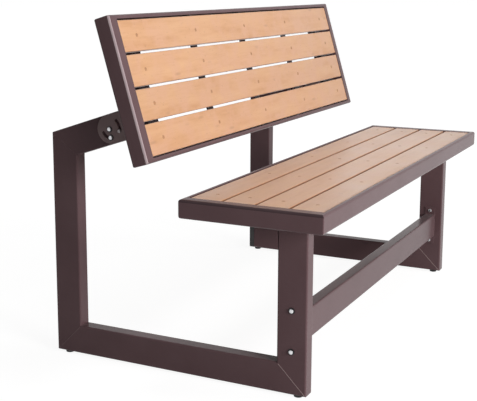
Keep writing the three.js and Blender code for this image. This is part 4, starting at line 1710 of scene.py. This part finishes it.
@dataclass(kw_only=True)
class Hinge(SubAssembly):
    """A slotted bracket around an arm, its bolts and its release lever. Sizes in millimetres."""

    side: Side
    hinge_gap: float = 0.5
    cheek: float = 5
    cheek_radius: float = 36
    cheek_edge: float = 0.6
    nose_steps: int = 40
    base: float = 5
    base_half_height: float = 50
    base_width: float = 60
    base_radius: float = 6
    base_edge: float = 0.6
    base_x: float = 598
    weld_radius: float = 1.8
    weld_inset: float = 3
    weld_notch_inset: float = 2
    weld_steps: int = 16
    slide: float = 0.4
    bolt_head_radius: float = 5
    bolt_head_height: float = 4
    washer_radius: float = 7.5
    washer_thickness: float = 1.6
    pivot_radius: float = 5
    stop_orbit: float = 20.8
    stop_radius: float = 3.5
    stop_angle: float = math.radians(-80)
    swing: float = math.radians(73.5)
    adjust_orbit: float = 29
    adjust_angle: float = math.radians(-21.5)
    adjust_sweep: float = math.radians(55)
    notch_start: float = 8
    notch_inner: float = 60
    notch_outer: float = 71
    notch_chamfer: float = 1.5
    pin_out: float = 67
    pin_across: float = -2
    pin_radius: float = 3.5
    pin_end: float = 1
    pin_chamfer: float = 0.6
    pin_hole_steps: int = 24
    lever_slant: float = math.radians(9)
    hub_radius: float = 7
    hub_width: float = 14
    hub_chamfer: float = 1
    rod_radius: float = 4
    rod_length: float = 68
    rod_chamfer: float = 0.8
    rod_steps: int = 28
    root: tuple[Point2, ...] = ((0, 4), (6.5, 4), (5, 6.5), (4.2, 9.5), (0, 9.5))
    grip_radius: float = 6
    grip_start: float = 32
    grip_end: float = 72
    grip_mouth: float = 1
    grip_tip: tuple[Point2, ...] = ((0, 2.4), (0.6, 1), (2, 0.2))
    groove: tuple[Point2, ...] = ((0, 0), (0.6, 0.6), (0.6, 1.6), (0, 2.2))
    groove_start: float = 4
    groove_end: float = 9
    groove_pitch: float = 4.4
    base_screw_pitch: float = 16
    base_screw_sink: float = 0.1
    base_screw: ScrewKind = ScrewKind(
        head_radius=4.6, head_height=2.6, cross_length=5.2, cross_width=1.3, cross_depth=1.4, taper=1.2)
    adjust_bolt: BoltKind = BoltKind(
        radius=4, head_radius=4.8, head_height=4.6, washer_radius=4.8, washer_thickness=1.0, grip=5)

    @property
    def label(self) -> str:
        """The word that starts the names of this hinge's pieces."""
        return self.side.label

    @property
    def cheek_outside(self) -> float:
        """Distance of the outer cheek's far face from the bench's middle."""
        return self.layout.leg_outer_x + self.hinge_gap + self.cheek

    @property
    def base_y(self) -> float:
        """The base's middle plane in the bracket's own Y."""
        return -(self.layout.back_offset - self.layout.fit_gap) + self.base / 2

    def build(self) -> None:
        """Makes and dresses every piece of the hinge."""
        self.bracket()
        self.base_screws()
        self.bolts()
        self.adjusting_bolt()
        self.lever()
        self.sleeve()

    def cheek_outline(self, notched: bool) -> list[Point2]:
        """Outline of a cheek in the bracket's Y and Z.

        Args:
            notched: True for the outer cheek, which has room for the lever.

        Returns:
            The corners, from the base's upper edge round the nose.
        """
        radius, low, soft = self.cheek_radius, self.notch_start, self.notch_chamfer
        outer, inner = -self.notch_outer, -self.notch_inner
        notch = [
            (outer, radius), (outer, low + soft), (outer + soft, low), (inner - soft, low),
            (inner, low + soft), (inner, radius),
        ]
        nose = arc((0, 0), radius, QUARTER, -math.pi, self.nose_steps)
        return [(self.base_y, radius), *(notch if notched else []), *nose, (self.base_y, -radius)]

    def cheek_holes(self) -> list[list[Point2]]:
        """The corners of the holes and the slots in a cheek."""
        fit = self.layout.fit_gap
        rest = self.stop_angle - self.layout.recline
        adjust_start = math.pi - self.adjust_angle - self.adjust_sweep
        return [
            circle(self.pivot_radius + fit),
            circle(self.pin_radius + fit, self.pin_hole_steps, (-self.pin_out, self.pin_across)),
            arc_slot(self.stop_orbit, self.stop_radius + self.slide, math.pi - rest, self.swing),
            arc_slot(
                self.adjust_orbit, self.adjust_bolt.radius + self.slide, adjust_start, self.adjust_sweep),
        ]

    def cheek_parts(self, start: float, notched: bool) -> list[Skin]:
        """One cheek and the weld along each of its faces.

        Args:
            start: Distance of its near face from the bench's middle.
            notched: True for the outer cheek.

        Returns:
            Their skins in the bracket's own axes.
        """
        middle = self.side.value * (start + self.cheek / 2)
        plate = pierced_plate(self.cheek_outline(notched), self.cheek_holes(), self.cheek, self.cheek_edge)
        parts = [turned(plate, shift(middle, 0, 0) @ Z_TO_X)]
        low = self.weld_inset - self.cheek_radius
        high = self.notch_start - self.weld_notch_inset if notched else -low
        y = self.base_y + self.base / 2
        for face in (-1, 1):
            x = middle + face * self.cheek / 2
            bottom, top = Vector((x, y, low)), Vector((x, y, high))
            path = [bottom.lerp(top, i / self.weld_steps) for i in range(self.weld_steps + 1)]
            parts.append(bead(path, self.weld_radius, closed=False))
        return parts

    def bracket(self) -> None:
        """Makes the base, the two cheeks and the welds between them."""
        outer = self.cheek_parts(self.layout.leg_outer_x + self.hinge_gap, notched=True)
        inner = self.cheek_parts(self.layout.leg_inner_x - self.hinge_gap - self.cheek, notched=False)
        size = (self.base_width, 2 * self.base_half_height, self.base)
        base = slab(size, self.base_radius, self.base_edge)
        seat = shift(self.side.value * self.base_x, self.base_y, 0) @ Z_TO_Y
        plates = turned(joined([*outer, *inner, turned(base, seat)]), self.layout.bracket)
        name = f"{self.label}_hinge_plates"
        self.dress(name, plates, Look.HINGE_PLATE, Body.BACKREST, f"{self.label}_hinge_bracket")

    def base_screws(self) -> None:
        """Makes the four screws through the base."""
        pitch = self.base_screw_pitch
        grid = ScrewField(2, 2, pitch, 2 * self.base_half_height - pitch)
        recipe = Recipe("base_screws", grid.inputs())
        heads = self.base_screw.heads(recipe, grid.points(recipe, 0.0))
        mesh = recipe.cook(heads, self.palette.of(Look.STEEL))
        face_y = self.base_y + self.base / 2 - self.base_screw_sink
        lift = shift(self.side.value * self.layout.leg_middle_x, face_y, 0) @ about_x(-QUARTER)
        mesh.transform(self.layout.bracket @ lift)
        self.dress(f"{self.label}_hinge_base_screws", mesh, Look.STEEL, Body.BACKREST)

    def bolts(self) -> None:
        """Makes the pivot bolt and the stop bolt."""
        gap = self.layout.fit_gap
        length = 2 * (self.cheek_outside - self.layout.leg_middle_x + gap)
        pivot = (self.layout.pivot.y / MM, self.layout.pivot.z / MM)
        stop = polar(self.stop_orbit, math.pi - self.stop_angle, pivot)
        for name, radius, place in (
            ("pivot_bolt", self.pivot_radius, pivot), ("stop_bolt", self.stop_radius, stop),
        ):
            kind = BoltKind(
                radius, self.bolt_head_radius, self.bolt_head_height, self.washer_radius,
                self.washer_thickness, length)
            self.bolt(f"{self.label}_{name}", kind, self.side, self.cheek_outside + gap, *place)

    def adjusting_bolt(self) -> None:
        """Makes the short bolt in the second slot of the outer cheek."""
        y, z = polar(self.adjust_orbit, math.pi - self.adjust_angle)
        head_x = self.cheek_outside + self.layout.fit_gap
        matrix = self.layout.bracket @ out_of_side(self.side, head_x, y, z)
        name, node = f"{self.label}_adjusting_screw", f"{self.label}_adjusting_bolt"
        self.dress(name, turned(self.adjust_bolt.head(), matrix), Look.WORN_STEEL, Body.BACKREST, node)

    @property
    def lever_body(self) -> Body:
        """The body of this side's release lever."""
        return Body.LEFT_LEVER if self.side is Side.LEFT else Body.RIGHT_LEVER

    @property
    def at_pin(self) -> Matrix:
        """From the lever's own axes, around its pin, to the bench."""
        x = self.side.value * self.layout.leg_middle_x
        return self.layout.bracket @ shift(x, -self.pin_out, self.pin_across) @ about_x(-self.lever_slant)

    def lever(self) -> None:
        """Makes the release lever: its pin, its hub and its rod."""
        pin_half = self.cheek_outside - self.layout.leg_middle_x + self.pin_end
        pin = chamfered_pin(self.pin_radius, -pin_half, pin_half, self.pin_chamfer, self.rod_steps)
        half, radius, end = self.hub_width / 2, self.rod_radius, self.rod_length
        hub = chamfered_pin(self.hub_radius, -half, half, self.hub_chamfer, 32)
        rod = lathe([
            (0, 0), (radius, 0), (radius, end - self.rod_chamfer), (radius - self.rod_chamfer, end), (0, end),
        ], self.rod_steps)
        root = lathe(self.root, self.rod_steps)
        steel = turned(joined([turned(pin, Z_TO_X), turned(hub, Z_TO_X), rod, root]), self.at_pin)
        name = f"{self.label}_lever_arm"
        self.dress(name, steel, Look.LEVER, self.lever_body, f"{self.label}_release_lever")

    def sleeve(self) -> None:
        """Makes the ribbed black grip on the lever's rod."""
        radius, mouth, start, end = self.grip_radius, self.grip_mouth, self.grip_start, self.grip_end
        bore, floor = self.rod_radius + self.layout.fit_gap, self.rod_length + self.layout.fit_gap
        profile = [(bore, start), (radius - mouth, start), (radius, start + mouth)]
        groove_z = start + self.groove_start
        while groove_z < end - self.groove_end:
            profile += [(radius - inset, groove_z + z) for inset, z in self.groove]
            groove_z += self.groove_pitch
        profile += [(radius - inset, end - z) for inset, z in self.grip_tip]
        profile += [(0, end), (0, floor), (bore, floor), (bore, start)]
        sleeve = turned(lathe(profile), self.at_pin)
        name = f"{self.label}_lever_sleeve"
        self.dress(name, sleeve, Look.PLASTIC, self.lever_body, f"{self.label}_lever_grip")


# Studio


@dataclass(frozen=True)
class Lamp:
    """A square soft lamp that faces the bench. Lengths in metres and power in watts."""

    name: str
    place: Triple
    size: float
    power: float
    aim: Triple = (0.0, 0.0, 0.45)
    mirrored: bool = True

    def hang(self) -> None:
        """Adds the lamp to the scene."""
        lamp = bpy.data.lights.new(self.name, "AREA")
        lamp.shape = "SQUARE"
        lamp.size = self.size
        lamp.energy = self.power
        hung = bpy.data.objects.new(self.name, lamp)
        turn = (Vector(self.aim) - Vector(self.place)).to_track_quat("-Z", "Y")
        hung.matrix_world = Matrix.Translation(Vector(self.place)) @ turn.to_matrix().to_4x4()
        hung.visible_glossy = self.mirrored
        bpy.context.scene.collection.objects.link(hung)


def cleared(owner: bpy.types.World | bpy.types.Material) -> Sheet:
    """Empties the node tree of a world or a material.

    Args:
        owner: The world or the material.

    Returns:
        The sheet of its tree.
    """
    owner.use_nodes = True
    owner.node_tree.nodes.clear()
    return Sheet(owner.node_tree)


def in_view(sheet: Sheet) -> Socket:
    """Adds a switch that is 1 on rays from the camera, with those that mirror or pass through a thing.

    Args:
        sheet: The sheet that the switch goes on.

    Returns:
        The switch's socket.
    """
    rays = sheet.node("ShaderNodeLightPath").outputs
    shown = rays["Is Camera Ray"]
    for other in ("Is Glossy Ray", "Is Transmission Ray"):
        shown = sheet.node("ShaderNodeMath", {0: shown, 1: rays[other]}, operation="MAXIMUM").outputs[0]
    return shown


@dataclass(frozen=True)
class Studio:
    """Camera, floor and light. Lengths in metres, and the picture's sizes in its pixels."""

    picture: Point2 = (477.0, 401.0)
    station: Triple = (-2.69298, -1.14921, 0.96350)
    heading: float = 0.4761
    dip: float = -0.1767
    roll: float = -0.0005
    focal: float = 1012.11
    principal: Point2 = (213.53, 163.09)
    sensor: float = 36.0
    sight: float = 100.0
    ambient: float = 0.05
    white: tuple[float, ...] = (1.0, 1.0, 1.0, 1.0)
    floor_radii: tuple[float, ...] = (0.6, 1.5, 4.0, 12.0, 40.0)
    floor_sides: int = 64
    floor_drop: float = 0.0004
    paper: tuple[float, ...] = (0.24, 0.24, 0.24, 1.0)
    bounce: tuple[float, ...] = (0.6, 0.6, 0.6, 1.0)
    glow_low: float = 0.92
    glow_start: float = 1.0
    glow_end: float = 3.2
    lamps: tuple[Lamp, ...] = (
        Lamp("key", (1.2, -4.4, 2.5), 1.4, 36, mirrored=False),
        Lamp("softbox", (-2.1, -4.8, 1.9), 2.0, 148, mirrored=False),
        Lamp("top", (0.3, -1.2, 4.5), 1.6, 47),
        Lamp("near_fill", (-1.55, -1.8, 0.55), 0.7, 6.5, (-0.6, -0.3, 0.35)),
    )

    def camera(self) -> None:
        """Puts the camera where the photograph was taken from."""
        width, height = self.picture
        forward = Vector((
            math.cos(self.dip) * math.cos(self.heading), math.cos(self.dip) * math.sin(self.heading),
            math.sin(self.dip)))
        right = Vector((math.sin(self.heading), -math.cos(self.heading), 0))
        up = right.cross(forward)
        rolled = right * math.cos(self.roll) + up * math.sin(self.roll)
        top = up * math.cos(self.roll) - right * math.sin(self.roll)
        lens = bpy.data.cameras.new("camera")
        lens.sensor_fit = "HORIZONTAL"
        lens.sensor_width = self.sensor
        lens.lens = self.focal * self.sensor / width
        lens.shift_x = (width / 2 - self.principal[0]) / width
        lens.shift_y = (self.principal[1] - height / 2) / width
        lens.clip_end = self.sight
        eye = bpy.data.objects.new("camera", lens)
        turn = Matrix((rolled, top, -forward)).transposed()
        eye.matrix_world = Matrix.Translation(Vector(self.station)) @ turn.to_4x4()
        bpy.context.scene.collection.objects.link(eye)
        bpy.context.scene.camera = eye

    def world(self) -> None:
        """Lights the bench evenly, behind a white background."""
        world = bpy.data.worlds.new("studio")
        bpy.context.scene.world = world
        sheet = cleared(world)
        strength = sheet.span(in_view(sheet), 0.0, 1.0, self.ambient, 1.0)
        sky = sheet.node("ShaderNodeBackground", {"Color": self.white, "Strength": strength})
        sheet.node("ShaderNodeOutputWorld", {"Surface": sky.outputs[0]})

    def floor_mesh(self) -> bpy.types.Mesh:
        """A round sheet just below the ground, cut into rings.

        Returns:
            The sheet's mesh, with its face up.
        """
        skin = bmesh.new()
        rows = [
            [skin.verts.new(p) for p in level(circle(radius, self.floor_sides), -self.floor_drop)]
            for radius in self.floor_radii
        ]
        skin.faces.new(rows[0])
        for inner, outer in zip(rows, rows[1:]):
            for i in range(self.floor_sides):
                j = (i + 1) % self.floor_sides
                skin.faces.new((inner[i], outer[i], outer[j], inner[j]))
        bmesh.ops.recalc_face_normals(skin, faces=skin.faces)
        mesh = bpy.data.meshes.new("floor")
        skin.to_mesh(mesh)
        skin.free()
        return mesh

    def floor(self) -> None:
        """Lays a pale round floor that keeps the bench's shadow."""
        floor = bpy.data.objects.new("floor", self.floor_mesh())
        bpy.context.scene.collection.objects.link(floor)
        material = bpy.data.materials.new("studio_floor")
        sheet = cleared(material)
        place = sheet.node("ShaderNodeTexCoord").outputs["Object"]
        away = sheet.node("ShaderNodeVectorMath", {0: place}, operation="LENGTH").outputs["Value"]
        strength = sheet.span(away, self.glow_start, self.glow_end, self.glow_low, 1.0)
        paper = sheet.node("ShaderNodeBsdfDiffuse", {"Color": self.paper}).outputs[0]
        glow = sheet.node("ShaderNodeEmission", {"Color": self.white, "Strength": strength}).outputs[0]
        lit = sheet.node("ShaderNodeAddShader", {0: paper, 1: glow}).outputs[0]
        plain = sheet.node("ShaderNodeBsdfDiffuse", {"Color": self.bounce}).outputs[0]
        both = sheet.node("ShaderNodeMixShader", {0: in_view(sheet), 1: plain, 2: lit})
        sheet.node("ShaderNodeOutputMaterial", {"Surface": both.outputs[0]})
        floor.data.materials.append(material)

    def build(self) -> None:
        """Sets the whole studio."""
        self.camera()
        self.world()
        self.floor()
        for lamp in self.lamps:
            lamp.hang()
        bpy.context.scene.view_settings.view_transform = "Standard"


def main() -> None:
    """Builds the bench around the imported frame, in order."""
    logging.basicConfig(level=logging.INFO, format="%(name)s: %(message)s")
    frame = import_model()
    Studio().build()

    joint = next(joint for joint in frame["joints"] if joint["child"] == Body.BACKREST.value)
    layout = Layout(Vector(joint["pos_m"]))
    shared = {"layout": layout, "palette": Palette()}
    for side in Side:
        SideFrame(side=side, **shared).build()
    Stretcher(**shared).build()
    FramedPanel(
        prefix="seat", body=Body.FRAME, place=layout.seat, seed=5,
        painted_light_look=Look.SHADED_EDGE, edge_lean=0.2, **shared).build()
    FramedPanel(
        prefix="back", body=Body.BACKREST, place=layout.back, seed=11,
        painted_light_look=Look.RUBBED_EDGE, edge_lean=0.5, **shared).build()
    for side in Side:
        Hinge(side=side, **shared).build()


if __name__ == "__main__":
    main()
